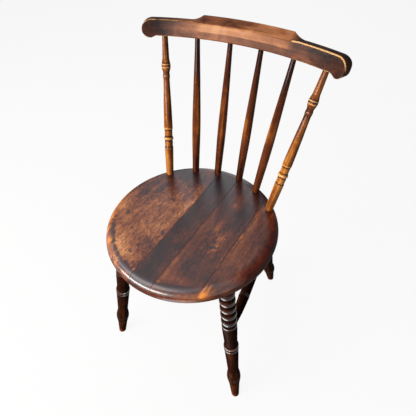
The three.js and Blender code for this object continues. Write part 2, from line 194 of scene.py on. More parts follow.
class Workshop:
    """Makes each finished piece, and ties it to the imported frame."""

    def __init__(self, materials: dict[Slot, Material]) -> None:
        """Keeps the finishes and the place of the seat's centre line."""
        self.materials = materials
        self.origin = seat_origin()

    def make(self, node: str, surface: Surface, slot: Slot) -> None:
        """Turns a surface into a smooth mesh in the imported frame, named after the solid it stands for.

        Args:
            node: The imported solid.
            surface: The new piece's grid of points.
            slot: The finish that it takes.
        """
        name = node.replace("_board", "") + "_finished"
        capped = surface.with_caps()
        mesh = bpy.data.meshes.new(name)
        mesh.from_pydata((capped.points * MM + self.origin).tolist(), [], surface.faces())
        mesh.polygons.foreach_set("use_smooth", np.ones(len(mesh.polygons), dtype=bool))
        fibre = mesh.attributes.new("grain", "FLOAT_VECTOR", "POINT")
        fibre.data.foreach_set("vector", (capped.grain * MM).astype(np.float32).ravel())
        for mark, values in capped.marks.items():
            attribute = mesh.attributes.new(mark, "FLOAT", "POINT")
            attribute.data.foreach_set("value", values.astype(np.float32).ravel())
        mesh.materials.append(self.materials[slot])
        mesh.update()
        piece = added(name, mesh)
        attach(piece, "root")
        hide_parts(node)
        log.info("%s stands for %s: %d faces", name, node, len(mesh.polygons))


class Outline:
    """The outline of a turned piece: distance along its axis and radius, drawn from one end.

    Attributes:
        taper_points: Points on a cone.
        flow_points: Points between two stops of a smooth line.
        bead_points: Points on a bead.
        surroundings: Width over which a place's surroundings are averaged.
        score_width: Half width of a thin groove.
        score_stain: Half width of the dark stain in it.
        rub_width: Half width of a rubbed ring.
    """

    taper_points = 24
    flow_points = 40
    bead_points = 28
    surroundings = 3.5
    score_width = 0.6
    score_stain = 1.25
    rub_width = 0.9

    def __init__(self, diameter: float) -> None:
        """Starts at one end with a diameter."""
        self.along: list[Grid] = [np.array([0.0])]
        self.radius: list[Grid] = [np.array([diameter / 2])]

    def add(self, along: Grid, radius: Grid) -> "Outline":
        """Adds points.

        Args:
            along: Their distances from the last point.
            radius: Their radii.

        Returns:
            The outline itself.
        """
        self.along.append(self.along[-1][-1] + along)
        self.radius.append(radius)
        return self

    def taper(self, length: float, diameter: float) -> "Outline":
        """A straight cone to the next diameter.

        Args:
            length: Its length.
            diameter: Diameter at its end.

        Returns:
            The outline itself.
        """
        t = np.linspace(0, 1, self.taper_points)[1:]
        start = self.radius[-1][-1]
        return self.add(length * t, start + (diameter / 2 - start) * t)

    def flow(self, stops: list[Pair]) -> "Outline":
        """A smooth line through several stops.

        Between two stops the radius follows the cubic whose slope at each stop is half the
        difference between its neighbours, with the end stops counted twice.

        Args:
            stops: Length and diameter of each stop.

        Returns:
            The outline itself.
        """
        radii = np.array([self.radius[-1][-1]] + [diameter / 2 for _, diameter in stops])
        padded = np.concatenate([radii[:1], radii, radii[-1:]])
        slopes = (padded[2:] - padded[:-2]) / 2
        t = np.linspace(0, 1, self.flow_points)[1:]
        for i, (length, _) in enumerate(stops):
            start, end, leave, arrive = radii[i], radii[i + 1], slopes[i], slopes[i + 1]
            radius = (
                start * (2 * t**3 - 3 * t**2 + 1) + leave * (t**3 - 2 * t**2 + t)
                + end * (3 * t**2 - 2 * t**3) + arrive * (t**3 - t**2)
            )
            self.add(length * t, radius)
        return self

    def bead(self, length: float, diameter: float, end_diameter: float) -> "Outline":
        """A rounded bead: a half sine wave of height on the straight line between its roots.

        Args:
            length: Its length.
            diameter: Diameter at its crown.
            end_diameter: Diameter at its far root.

        Returns:
            The outline itself.
        """
        turn = np.linspace(0, math.pi, self.bead_points)[1:]
        along = length * turn / math.pi
        start = self.radius[-1][-1]
        root = start + (end_diameter / 2 - start) * along / length
        rise = (diameter / 2 - max(start, end_diameter / 2)) * np.sin(turn)
        return self.add(along, root + rise)

    def drawn(self, length: float, step: float, softness: float, scores: tuple[Pair, ...],
              pale: tuple[float, ...]) -> tuple[Grid, ...]:
        """The outline at even steps, stretched to a length, softened and scored.

        Softening is a running average with a bell-shaped weight. Each score is a thin groove, a
        bell-shaped dip, and its stain is e to the minus fourth power of the distance over its width.

        Args:
            length: Full length between the two shoulders.
            step: Distance between points.
            softness: Width of the bell-shaped weight.
            scores: Place along the drawn outline and depth of each thin groove.
            pale: Places of rubbed lines.

        Returns:
            Distances along, radii, how far each radius stands proud of its surroundings, and the
            strength of the dark rings and of the pale ones.
        """
        along = np.concatenate(self.along)
        stretch = length / along[-1]
        places = np.linspace(0, length, round(length / step))
        radius = np.interp(places, along * stretch, np.concatenate(self.radius))
        radius = blurred(radius, softness / step)
        proud = radius - blurred(radius, self.surroundings / step)
        dark, light = np.zeros_like(places), np.zeros_like(places)
        for place, depth in scores:
            away = places - place * stretch
            radius = radius - depth * bell(away, 0.0, self.score_width)
            dark = np.maximum(dark, np.exp(-((away / self.score_stain) ** 4)))
        for place in pale:
            light = np.maximum(light, bell(places, place * stretch, self.rub_width))
        return places, radius, proud, dark, light


def blurred(values: Grid, width: float) -> Grid:
    """A running average with a bell-shaped weight, the ends held.

    Args:
        values: Numbers along a line.
        width: Standard width of the bell, in steps.

    Returns:
        The averaged numbers.
    """
    narrowest, cut_off = 0.2, 3
    reach = max(1, int(cut_off * width))
    steps = np.arange(-reach, reach + 1)
    weight = np.exp(-0.5 * (steps / max(width, narrowest)) ** 2)
    padded = np.pad(values, reach, mode="edge")
    return np.convolve(padded, weight / weight.sum(), mode="valid")


@dataclass
class Turned:
    """A turned piece set on the line between two points.

    Attributes:
        outline: Its outline from the first shoulder to the second.
        start: The first shoulder.
        end: The second shoulder.
        tail: Straight length before the first shoulder.
        head: Straight length after the second.
        step: Distance between rings.
        sides: Points round each ring.
        seed: Shifts the grain, so that no two pieces match.
        softness: Rounding of the outline's corners.
        scores: Thin grooves, stained dark.
        pale: Thin rubbed rings.
        floor: Whether the first end is cut off by the floor.
        foot_wear: How high the rubbed wood reaches from the floor.
        oval: How oval its section is, as a share of the radius.
        grain_reach: How far the grain may be shifted each way.
    """

    outline: Outline
    start: Grid
    end: Grid
    tail: float
    head: float
    step: float = 0.8
    sides: int = 36
    seed: int = 0
    softness: float = 0.35
    scores: tuple[Pair, ...] = ()
    pale: tuple[float, ...] = ()
    floor: bool = False
    foot_wear: float = 13.0
    oval: float = 0.006
    grain_reach: float = 400.0

    def surface(self) -> Surface:
        """The outline turned about its axis.

        A point is the start, plus its distance along the axis, plus its radius times the cosine
        and the sine of the turn along two directions square to the axis. Hand turning leaves the
        section very slightly oval. Where the floor cuts the piece, each point under it slides back
        along the axis to the floor.

        Returns:
            The grid with its grain, and the marks proud, ring, pale and along.
        """
        reach = self.end - self.start
        length = float(np.linalg.norm(reach))
        axis = reach / length
        first = np.cross(axis, [0.0, 1.0, 0.0])
        first /= np.linalg.norm(first)
        second = np.cross(axis, first)
        along, radius, proud, dark, light = self.outline.drawn(
            length, self.step, self.softness, self.scores, self.pale)
        along = np.concatenate([[-self.tail], along, [length + self.head]])
        radius = np.concatenate([radius[:1], radius, radius[-1:]])
        proud, dark, light = (np.concatenate([[0.0], line, [0.0]]) for line in (proud, dark, light))
        if self.floor:
            light = np.maximum(light, bell(along, 0.0, self.foot_wear))
        turn = np.linspace(0, 2 * math.pi, self.sides, endpoint=False)
        spread = radius[:, None] * (1 + self.oval * np.cos(2 * turn + self.seed))[None, :]
        x, y = spread * np.cos(turn), spread * np.sin(turn)
        z = np.broadcast_to(along[:, None], x.shape).copy()
        points = self.start + z[..., None] * axis + x[..., None] * first + y[..., None] * second
        if self.floor:
            under = np.minimum(points[..., 2], 0.0)
            slide = -under / axis[2]
            points = points + slide[..., None] * axis
            z = z + slide
        generator = np.random.default_rng(self.seed)
        shift = generator.uniform(-self.grain_reach, self.grain_reach, 3)
        grain = np.stack([x, y, z], axis=-1) + shift
        marks = {
            "proud": np.broadcast_to(proud[:, None], x.shape),
            "ring": np.broadcast_to(dark[:, None], x.shape),
            "pale": np.broadcast_to(light[:, None], x.shape),
            "along": z / length,
        }
        return Surface(points, grain, marks)


@dataclass(frozen=True)
class Mark:
    """A soft oval mark on the seat, in plan.

    Attributes:
        x: Centre across.
        y: Centre from front to back.
        across: Half width.
        along: Half length.
        strength: Height at the centre.
        turn: Degrees that it is turned to the left.
    """

    x: float
    y: float
    across: float
    along: float
    strength: float
    turn: float = 0.0

    def at(self, x: Grid, y: Grid) -> Grid:
        """The mark's height at each place: a bell over its turned oval.

        Args:
            x: Places across.
            y: Places from front to back.

        Returns:
            Heights there.
        """
        angle = math.radians(self.turn)
        right = (x - self.x) * math.cos(angle) + (y - self.y) * math.sin(angle)
        up = (y - self.y) * math.cos(angle) - (x - self.x) * math.sin(angle)
        return self.strength * np.exp(-((right / self.across) ** 2) - (up / self.along) ** 2)


@dataclass(frozen=True)
class SeatPlaces:
    """Where the points of a board lie on the seat, each field a number for every point.

    Attributes:
        east: Distance to the right.
        north: Distance to the back.
        inside: Distance in from the edge.
        angle: Degrees round the seat from its right, by the back at 90 and the left at 180.
        over_top: Height over the seat's top.
        on_top: 1 on the top, 0 on the rim.
        off_bottom: 1 on the top and the rim, 0 on the lower edge's rounding.
    """

    east: Grid
    north: Grid
    inside: Grid
    angle: Grid
    over_top: Grid
    on_top: Grid
    off_bottom: Grid


@dataclass(frozen=True)
class SeatWear:
    """Where the seat's stain is light, worn through or dark.

    An arc of angles says where it starts, where it is full, where it starts to fade and where it ends.

    Attributes:
        amber: Places where the wood shows warmer and lighter through the stain.
        bare: Places that are rubbed to bright bare wood.
        stain: Places with dark spots.
        curl: The place with curled figure, round the knots.
        base: How light each board is.
        side_share: Share of that on the rim.
        side_level: What the rim's lightness starts from.
        stain_arc: Arc of the dark band along the front edge.
        stain_line: The band's distance in from the edge, and its width.
        stain_depth: Its strength at the left, and what it gains towards the front.
        stain_gain: Angles between which it gains that.
        rub_arc: Arc of the rubbed line along the left front edge.
        rub_line: The line's distance in from the edge, and its width.
        rub_depth: Its strength.
        glow_at: Angle of the warm glow round the worn patch, and its width.
        glow_reach: Distances in from the edge between which the glow ends.
        glow: Its strength.
        left_arc: Arc of the left edge, which is browner and duller.
        left_brown: What its rim loses in lightness.
        far_arc: Arc of all but the right edge, which is dark red.
        red_edge: That red's strength at the edge, and the distances in between which it fades.
        polish_rise: Heights over the top between which the rim's polish starts and is full.
        dull_top: Share of polish that the top lacks, and the distances in where that comes on.
        dull_left: Share that the left edge lacks, and the distances in where that fades.
        dull_right: Share that the right edge lacks, and the distances in where that fades.
    """

    amber: tuple[Mark, ...] = (
        Mark(-34, 36, 7, 42, 0.18, -1.8), Mark(-50, -16, 7, 40, -0.22, -1.8), Mark(-166, 0, 10, 62, 0.24),
        Mark(-116, -48, 18, 12, -0.14), Mark(-38, 70, 9, 45, 0.12, 8), Mark(-66, 20, 26, 62, 0.22, 12),
        Mark(-100, -60, 48, 62, 0.22, -30), Mark(-104, -124, 40, 24, 0.4, -38),
        Mark(-60, -138, 30, 24, 0.26), Mark(-150, -42, 24, 54, 0.26, 20), Mark(-130, 70, 50, 46, -0.16),
        Mark(-80, 128, 70, 36, -0.4), Mark(2, -52, 18, 30, 0.16), Mark(40, -30, 22, 60, 0.2),
        Mark(62, 0, 9, 30, 0.2, 8), Mark(56, 8, 4, 16, 0.2, 14), Mark(74, -40, 12, 5, 0.12, 14),
        Mark(80, -30, 10, 42, 0.3, -6), Mark(34, 30, 5, 30, 0.2), Mark(62, 82, 10, 10, 0.34),
        Mark(26, -118, 4, 44, 0.26, -1), Mark(56, -146, 22, 12, 0.22), Mark(28, -152, 10, 12, 0.2),
        Mark(120, 20, 8, 90, 0.34, -2), Mark(138, 66, 24, 40, 0.2, -30), Mark(116, 82, 6, 22, 0.28),
        Mark(140, -40, 28, 70, 0.12, -14), Mark(150, 98, 12, 10, 0.3), Mark(90, 60, 30, 30, -0.1),
        Mark(0, 140, 120, 30, -0.1), Mark(30, -132, 60, 34, 0.06), Mark(128, -90, 26, 40, 0.08),
    )
    bare: tuple[Mark, ...] = (
        Mark(113, -155, 9, 8, 0.66), Mark(106, -143, 4, 16, 0.56, -8), Mark(115, -132, 3, 20, 0.5, -8),
        Mark(124, -163, 11, 5, 0.62, 35), Mark(122, -134, 2.6, 22, 0.4, -12),
        Mark(143, -146, 14, 3.6, 0.42, 44), Mark(98, -164, 8, 4, 0.6, 20),
        Mark(105, -84, 2.4, 52, 0.34, 1.5), Mark(113, 8, 4.0, 16, 0.62, -3),
        Mark(111, -22, 2.4, 22, 0.46), Mark(114, 76, 4.5, 16, 0.55, -4), Mark(112, 50, 2.4, 14, 0.44),
        Mark(-31, -70, 3, 34, 0.34, -1.8), Mark(21, -120, 2.2, 30, 0.28, -1),
        Mark(57, 8, 2.4, 14, 0.14, 12), Mark(-118, -130, 14, 5, 0.34, -42),
        Mark(-166, -58, 5, 26, 0.4, 20), Mark(-36, -166, 14, 4, 0.4, 6), Mark(22, -166, 12, 4, 0.2, 2),
    )
    stain: tuple[Mark, ...] = (
        Mark(-74, 34, 9, 5, 0.72, 20), Mark(-66, 30, 6, 4, 0.5, 30), Mark(-62, -112, 7, 8, 0.6),
        Mark(-66, -132, 8, 5, 0.5), Mark(-50, -8, 4, 22, 0.42, -4), Mark(-36, -64, 5, 9, 0.5, 30),
        Mark(-120, -30, 16, 14, 0.3), Mark(-142, -50, 12, 10, 0.34), Mark(-112, -74, 14, 10, 0.3),
        Mark(-90, -104, 10, 9, 0.34), Mark(68, -31, 9, 5.0, 0.95, -34), Mark(61, -10, 2.6, 16, 0.5, 14),
        Mark(69, -6, 2.4, 14, 0.5, 10), Mark(76, -4, 2.4, 12, 0.42, 8), Mark(60, -43, 7, 3.8, 0.9, -42),
        Mark(74, -47, 11, 4.0, 0.95, 14), Mark(64, 58, 6, 6, 0.6), Mark(62, 73, 10, 3.6, 0.5, -14),
        Mark(76, 62, 3.4, 10, 0.42, 16), Mark(-37, -62, 3.2, 9, 0.75, 40), Mark(-141, -43, 4, 9, 0.5, 38),
        Mark(-50, -172, 20, 5, 0.5, -18), Mark(112, 40, 2.6, 7, 0.7), Mark(112, 24, 2.6, 5, 0.7),
        Mark(117, 34, 2.6, 9, 0.5, 30), Mark(150, 8, 4, 4, 0.6), Mark(137, -120, 18, 7, 0.5, 48),
        Mark(76, -158, 28, 6, 0.5, 14),
    )
    curl: Mark = Mark(70, -24, 26, 46, 2.0)
    base: tuple[float, ...] = (0.4, 0.06, 0.17, 0.2)
    side_share: float = 0.3
    side_level: float = 0.24
    stain_arc: Arc = (190, 215, 292, 312)
    stain_line: Pair = (16, 6.5)
    stain_depth: Pair = (0.66, 0.04)
    stain_gain: Pair = (225, 250)
    rub_arc: Arc = (165, 190, 235, 255)
    rub_line: Pair = (5, 5)
    rub_depth: float = 0.42
    glow_at: Pair = (303, 20)
    glow_reach: Pair = (3, 14)
    glow: float = 0.26
    left_arc: Arc = (100, 130, 205, 228)
    left_brown: float = 0.16
    far_arc: Arc = (60, 80, 318, 338)
    red_edge: Step = (1.0, 4, 30)
    polish_rise: Pair = (-13.0, -7.0)
    dull_top: Step = (0.5, 9, 20)
    dull_left: Step = (0.8, 8, 20)
    dull_right: Step = (0.85, 12, 30)

    def marks(self, index: int, at: SeatPlaces) -> dict[str, Grid]:
        """The marks that the seat's finish reads.

        Amber, bare and stain are each the sum of their soft marks. Amber adds the board's own
        level, a browner rim and the glow. Bare and stain add a line that follows the edge.

        Args:
            index: The board's number.
            at: Where its points lie.

        Returns:
            The marks by name.
        """
        left = band(at.angle, self.left_arc)
        right = 1 - band(at.angle, self.far_arc)
        lists = (self.amber, self.bare, self.stain)
        amber, bare, stain = (sum(mark.at(at.east, at.north) for mark in marks) for marks in lists)
        side = self.base[index] * self.side_share + self.side_level - self.left_brown * left
        glow = self.glow * bell(at.angle, *self.glow_at) * (1 - smooth(at.inside, *self.glow_reach))
        rub = self.rub_depth * band(at.angle, self.rub_arc) * bell(at.inside, *self.rub_line)
        depth = self.stain_depth[0] + self.stain_depth[1] * smooth(at.angle, *self.stain_gain)
        dark = depth * band(at.angle, self.stain_arc) * bell(at.inside, *self.stain_line)
        polish = smooth(at.over_top, *self.polish_rise) * (1 - rising(at.inside, self.dull_top))
        polish = polish * (1 - left * falling(at.inside, self.dull_left))
        return {
            "amber": (self.base[index] + amber) * at.on_top + (1 - at.on_top) * side + glow,
            "bare": (bare + rub) * at.off_bottom,
            "stain": (stain + dark) * at.on_top,
            "edge": right * falling(at.inside, self.red_edge),
            "polish": polish * (1 - right * falling(at.inside, self.dull_right)),
            "curl": self.curl.at(at.east, at.north) * at.on_top,
        }


@dataclass
class Seat:
    """The round seat: four boards glued edge to edge, turned round, and narrower across the grain.

    Attributes:
        depth: Front to back.
        width: Left to right.
        height: Height of the top.
        thickness: Thickness.
        top_round: Radius of the upper edge.
        bottom_round: Radius of the lower edge.
        tuck: How much smaller the lower edge is.
        grain_angle: Degrees that the seams turn to the right.
        seams: Distance of each seam from the centre line.
        gap: Width of each seam.
        cup: How far each board's middle has sunk.
        ease: Rounding of each board's corner at a seam.
        ease_reach: How far in from the seam the rounding starts.
        cup_margin: How far in from the rim the cup starts.
        top_margin: How far under the top the top's marks are at full strength.
        bare_margin: How far under the top the rubbed marks are at full strength.
        section_points: Points of a section across the top or the bottom, and down the rim.
        beside_seam: Distances of the sections beside a seam.
        section_step: Distance between the other sections.
        outer_sections: Sections of an outer board.
        last_turn: Degrees of the quarter turn at which an outer board's last section lies.
        grain_reach: How far the grain may be shifted each way.
        grain_seed: Seed of the left board's shift.
        wear: Where the stain is light, worn through or dark.
        boards: The boards' names, from left to right.
    """

    boards = ("left", "left_centre", "right_centre", "right")

    depth: float = 380.0
    width: float = 368.0
    height: float = 449.0
    thickness: float = 34.0
    top_round: float = 15.0
    bottom_round: float = 11.0
    tuck: float = 1.5
    grain_angle: float = 1.8
    seams: tuple[float, ...] = (-26.0, 24.0, 108.0)
    gap: float = 0.3
    cup: float = 0.22
    ease: float = 0.2
    ease_reach: float = 1.2
    cup_margin: float = 4.0
    top_margin: float = 2.0
    bare_margin: float = 8.0
    section_points: tuple[int, int] = (170, 6)
    beside_seam: tuple[float, ...] = (0.0, 0.25, 0.6, 1.2, 2.0)
    section_step: float = 2.2
    outer_sections: int = 80
    last_turn: float = 89.3
    grain_reach: float = 300.0
    grain_seed: int = 40
    wear: SeatWear = SeatWear()

    @property
    def underside(self) -> float:
        """Height of the seat's underside."""
        return self.height - self.thickness

    def place(self, setback: float, angle: float, side: Side, end: End, height: float) -> Grid:
        """A point near the seat's edge.

        Args:
            setback: Distance in from the edge.
            angle: Degrees from the front-to-back line.
            side: To the left or to the right of that line.
            end: From its front or its back end.
            height: Height above the floor.

        Returns:
            The point.
        """
        turn = math.radians(angle)
        across = (self.width / 2 - setback) * math.sin(turn)
        along = (self.depth / 2 - setback) * math.cos(turn)
        return np.array([side.value * across, end.value * along, height])

    def chord(self, x: Grid, shrink: float) -> tuple[Grid, Grid]:
        """The two ends of the oval's chord at a distance across the grain.

        In the grain's own directions the oval is A x^2 + 2 B x y + C y^2 = 1, so a chord at x
        runs from (-B x - root) / C to (-B x + root) / C, with root^2 = B^2 x^2 - C (A x^2 - 1).

        Args:
            x: Distance across the grain.
            shrink: Length taken off the oval all round.

        Returns:
            The lower and the upper end.
        """
        a, b, c = self.oval(shrink)
        root = np.sqrt(np.maximum(b * b * x * x - c * (a * x * x - 1), 0.0))
        return (-b * x - root) / c, (-b * x + root) / c

    def oval(self, shrink: float) -> tuple[float, float, float]:
        """The three numbers A, B and C of the oval in the grain's own directions.

        Args:
            shrink: Length taken off the oval all round.

        Returns:
            A, B and C.
        """
        turn = math.radians(self.grain_angle)
        scale = (self.depth / 2 - shrink) / (self.depth / 2)
        p = 1 / (self.width / 2 * scale) ** 2
        q = 1 / (self.depth / 2 * scale) ** 2
        cosine, sine = math.cos(turn), math.sin(turn)
        return p * cosine**2 + q * sine**2, (p - q) * cosine * sine, p * sine**2 + q * cosine**2

    def half_width(self, shrink: float) -> float:
        """The oval's greatest distance across the grain."""
        a, b, c = self.oval(shrink)
        return math.sqrt(c / (a * c - b * b))

    def edge_distance(self, x: Grid, y: Grid, shrink: float) -> Grid:
        """Distance in from the oval, as its half depth times one minus the share of the way out.

        Args:
            x: Distance across the grain.
            y: Distance along the grain.
            shrink: Length taken off the oval all round.

        Returns:
            The distance, and 0 outside.
        """
        a, b, c = self.oval(shrink)
        out = np.sqrt(a * x * x + 2 * b * x * y + c * y * y)
        return np.maximum((self.depth / 2 - shrink) * (1 - out), 0.0)

    def board(self, index: int) -> Surface:
        """One board, as sections square to its width.

        Each section is a closed loop: over the top from back to front, down the rim, under the
        bottom to the back, and up the rim. Points on a face lie at the sine of evenly spaced
        turns, so they crowd at the rim. The height of the top falls to the rim on a quarter
        circle, and the bottom rises on one. An outer board's sections crowd towards the rim in
        the same way.

        Args:
            index: 0 for the left board, up to 3 for the right one.

        Returns:
            The grid in the chair's directions.
        """
        edges = [-math.inf, *self.seams, math.inf]
        left, right = edges[index] + self.gap / 2, edges[index + 1] - self.gap / 2
        face, wall = self.section_points
        turn = np.linspace(math.pi / 2, -math.pi / 2, face)
        over, under = np.sin(turn), np.sin(turn)[::-1]
        share = np.concatenate([over, np.full(wall, -1.0), under, np.full(wall, 1.0)])
        down = np.linspace(0, 1, wall + 2)[1:-1]
        low = np.concatenate([np.zeros(face), down, np.ones(face), 1 - down])
        stations = self.stations(left, right)
        outer = np.stack([self.half_width(0), self.half_width(self.tuck)])
        x = stations[:, None] * np.ones_like(low)[None, :]
        if math.isinf(left) or math.isinf(right):
            seam = right if math.isinf(left) else left
            sign = -1 if math.isinf(left) else 1
            part = (stations - seam) / (sign * outer[0] - seam)
            end = sign * (outer[0] * (1 - low) + outer[1] * low)
            x = seam + part[:, None] * (end[None, :] - seam)
        top_low, top_high = self.chord(x, 0)
        bottom_low, bottom_high = self.chord(x, self.tuck)
        start = top_low * (1 - low) + bottom_low * low
        finish = top_high * (1 - low) + bottom_high * low
        y = (start + finish) / 2 + (finish - start) / 2 * share
        top = self.top_height(x, y, left, right)
        bottom = self.bottom_height(x, y)
        on_wall = (low > 0) & (low < 1)
        rim_top = self.height - self.top_round
        rim_bottom = self.underside + self.bottom_round
        z = np.where(low[None, :] == 0, top, bottom)
        z = np.where(on_wall[None, :], rim_top + (rim_bottom - rim_top) * low[None, :], z)
        return self.dressed(x, y, z, index)

    def stations(self, left: float, right: float) -> Grid:
        """Where a board's sections lie across the grain, with extra ones beside each seam.

        Args:
            left: The board's left seam, or minus infinity for the left board.
            right: Its right seam, or infinity for the right board.

        Returns:
            Distances from the centre line, from left to right.
        """
        close = np.array(self.beside_seam)
        margin = close[-1]
        if math.isinf(left):
            turn = np.linspace(0.0, math.radians(self.last_turn), self.outer_sections)[1:]
            reach = self.half_width(0) + right
            far = right - margin - (reach - margin) * np.sin(turn)
            return np.concatenate([far[::-1], (right - close)[::-1]])
        if math.isinf(right):
            return -self.stations(-math.inf, -left)[::-1]
        count = round((right - left) / self.section_step)
        inner = np.linspace(left + margin, right - margin, count)[1:-1]
        return np.concatenate([left + close, inner, (right - close)[::-1]])

    def top_height(self, x: Grid, y: Grid, left: float, right: float) -> Grid:
        """Height of the top: flat, cupped a little in each board, eased at the seams and rounded.

        The rim is a quarter circle: its height is the root of the radius squared less the square
        of what is left of the radius. The cup is one minus the square of the share of the way from
        the board's middle, and the easing is the square of what is left of its reach.

        Args:
            x: Distance across the grain.
            y: Distance along the grain.
            left: The board's left seam.
            right: Its right seam.

        Returns:
            Heights above the floor.
        """
        inside = np.minimum(self.edge_distance(x, y, 0), self.top_round)
        rise = np.sqrt(self.top_round**2 - (self.top_round - inside) ** 2)
        height = self.height - self.top_round + rise
        start = max(left, -self.half_width(0))
        finish = min(right, self.half_width(0))
        middle = (x - (start + finish) / 2) / ((finish - start) / 2)
        height = height - self.cup * (1 - middle**2) * smooth(inside, self.cup_margin, self.top_round)
        seam = np.minimum(np.abs(x - left), np.abs(x - right))
        return height - self.ease * np.clip(1 - seam / self.ease_reach, 0.0, 1.0) ** 2

    def bottom_height(self, x: Grid, y: Grid) -> Grid:
        """Height of the bottom: flat, and rounded up to the rim on a quarter circle.

        Args:
            x: Distance across the grain.
            y: Distance along the grain.

        Returns:
            Heights above the floor.
        """
        inside = np.minimum(self.edge_distance(x, y, self.tuck), self.bottom_round)
        rise = self.bottom_round - np.sqrt(self.bottom_round**2 - (self.bottom_round - inside) ** 2)
        return self.underside + rise

    def dressed(self, x: Grid, y: Grid, z: Grid, index: int) -> Surface:
        """Turns the grain's directions to the chair's and works out the marks of wear.

        Args:
            x: Across the grain.
            y: Along the grain.
            z: Height.
            index: The board's number.

        Returns:
            The finished grid.
        """
        turn = -math.radians(self.grain_angle)
        east = x * math.cos(turn) - y * math.sin(turn)
        north = x * math.sin(turn) + y * math.cos(turn)
        places = SeatPlaces(
            east, north, self.edge_distance(x, y, 0), np.degrees(np.arctan2(north, east)) % 360,
            z - self.height, smooth(z, self.height - self.top_round, self.height - self.top_margin),
            smooth(z, self.underside + self.bottom_round, self.height - self.bare_margin),
        )
        generator = np.random.default_rng(self.grain_seed + index)
        shift = generator.uniform(-self.grain_reach, self.grain_reach, 3)
        grain = np.stack([x, z - self.height, y], axis=-1) + shift
        marks = self.wear.marks(index, places)
        return Surface(np.stack([east, north, z], axis=-1), grain, marks)

    def build(self, shop: Workshop) -> None:
        """Makes the four boards.

        Args:
            shop: Where they are made.
        """
        for index, name in enumerate(self.boards):
            slot = Slot.SEAT_LEFT if index == 0 else Slot.SEAT
            shop.make(f"seat_board_{name}", self.board(index), slot)


@dataclass(frozen=True)
class CrestWearAndPaintedLight:
    """Where the crest rail's corners are rubbed, where dark stain and painted shade darken it, and where a
    highlight is painted along the fold. Places are distances across.

    Attributes:
        front_rub: Rub of the upper front corner.
        right_rub: What the right end of that corner gains, and between which places.
        left_rub: What its left end gains, and between which places.
        back_rub: Rub of the upper back corner.
        low_rub: Rub of the lower corners.
        hump_clean: Share of the rub that the raised middle lacks.
        dusk_left: What the dark stain and painted shade gain to the left, and between which places. The
            first step is painted shade that leaves a lighter stretch in the middle, and the second darkens
            the end as stain.
        dusk_right: What they gain to the right, the first step again painted shade beside the lighter
            middle.
        slope_part: Shares of the depth between which the raised middle's slope lies.
        slope_fade: How fast the slope's darkness turns to light towards the right, and where.
        fold_highlight_width: Width of the painted highlight along the fold, as a share of the depth.
    """

    front_rub: float = 0.3
    right_rub: Step = (0.62, 84, 110)
    left_rub: Step = (0.14, 150, 190)
    back_rub: float = 0.2
    low_rub: float = 0.42
    hump_clean: float = 0.6
    dusk_left: tuple[Step, Step] = ((0.2, 40, 100), (0.8, 100, 192))
    dusk_right: tuple[Step, Step] = ((0.6, -10, 60), (0.4, 90, 190))
    slope_part: Pair = (0.06, 0.98)
    slope_fade: Step = (2.6, -30, 60)
    fold_highlight_width: float = 0.12

    def marks(self, across: Grid, part: Grid, hump: Grid, at_top: Grid,
              at_front: Grid, in_corner: Grid) -> dict[str, Grid]:
        """The marks of rubbed corners, of dark stain with painted shade, of the slope, and of the painted
        highlight along the fold.

        Args:
            across: Distances across the rail.
            part: Shares of the depth.
            hump: Shares of the raised middle.
            at_top: Whether each point lies in the upper half.
            at_front: Whether it lies in the front half.
            in_corner: Whether it lies on a rounded corner.

        Returns:
            The marks by name.
        """
        top_rub = self.front_rub + rising(across, self.right_rub) + rising(-across, self.left_rub)
        rub = np.where(at_top, np.where(at_front, top_rub, self.back_rub), self.low_rub)
        left_stain_and_shade = sum(rising(-across, step) for step in self.dusk_left)
        right_stain_and_shade = sum(rising(across, step) for step in self.dusk_right)
        on_slope = at_top * (part > self.slope_part[0]) * (part < self.slope_part[1])
        return {
            "bare": in_corner * rub * (1 - self.hump_clean * hump),
            # Dark stain towards the ends, with painted shade that leaves a lighter stretch in the middle
            # where a sheen falls.
            "dusk": left_stain_and_shade + right_stain_and_shade,
            "slope": hump * on_slope * (1 - rising(across, self.slope_fade)),
            # Painted highlight: a lighter line along the raised middle's fold.
            "fold": hump * at_top * bell(part, 0.0, self.fold_highlight_width),
        }


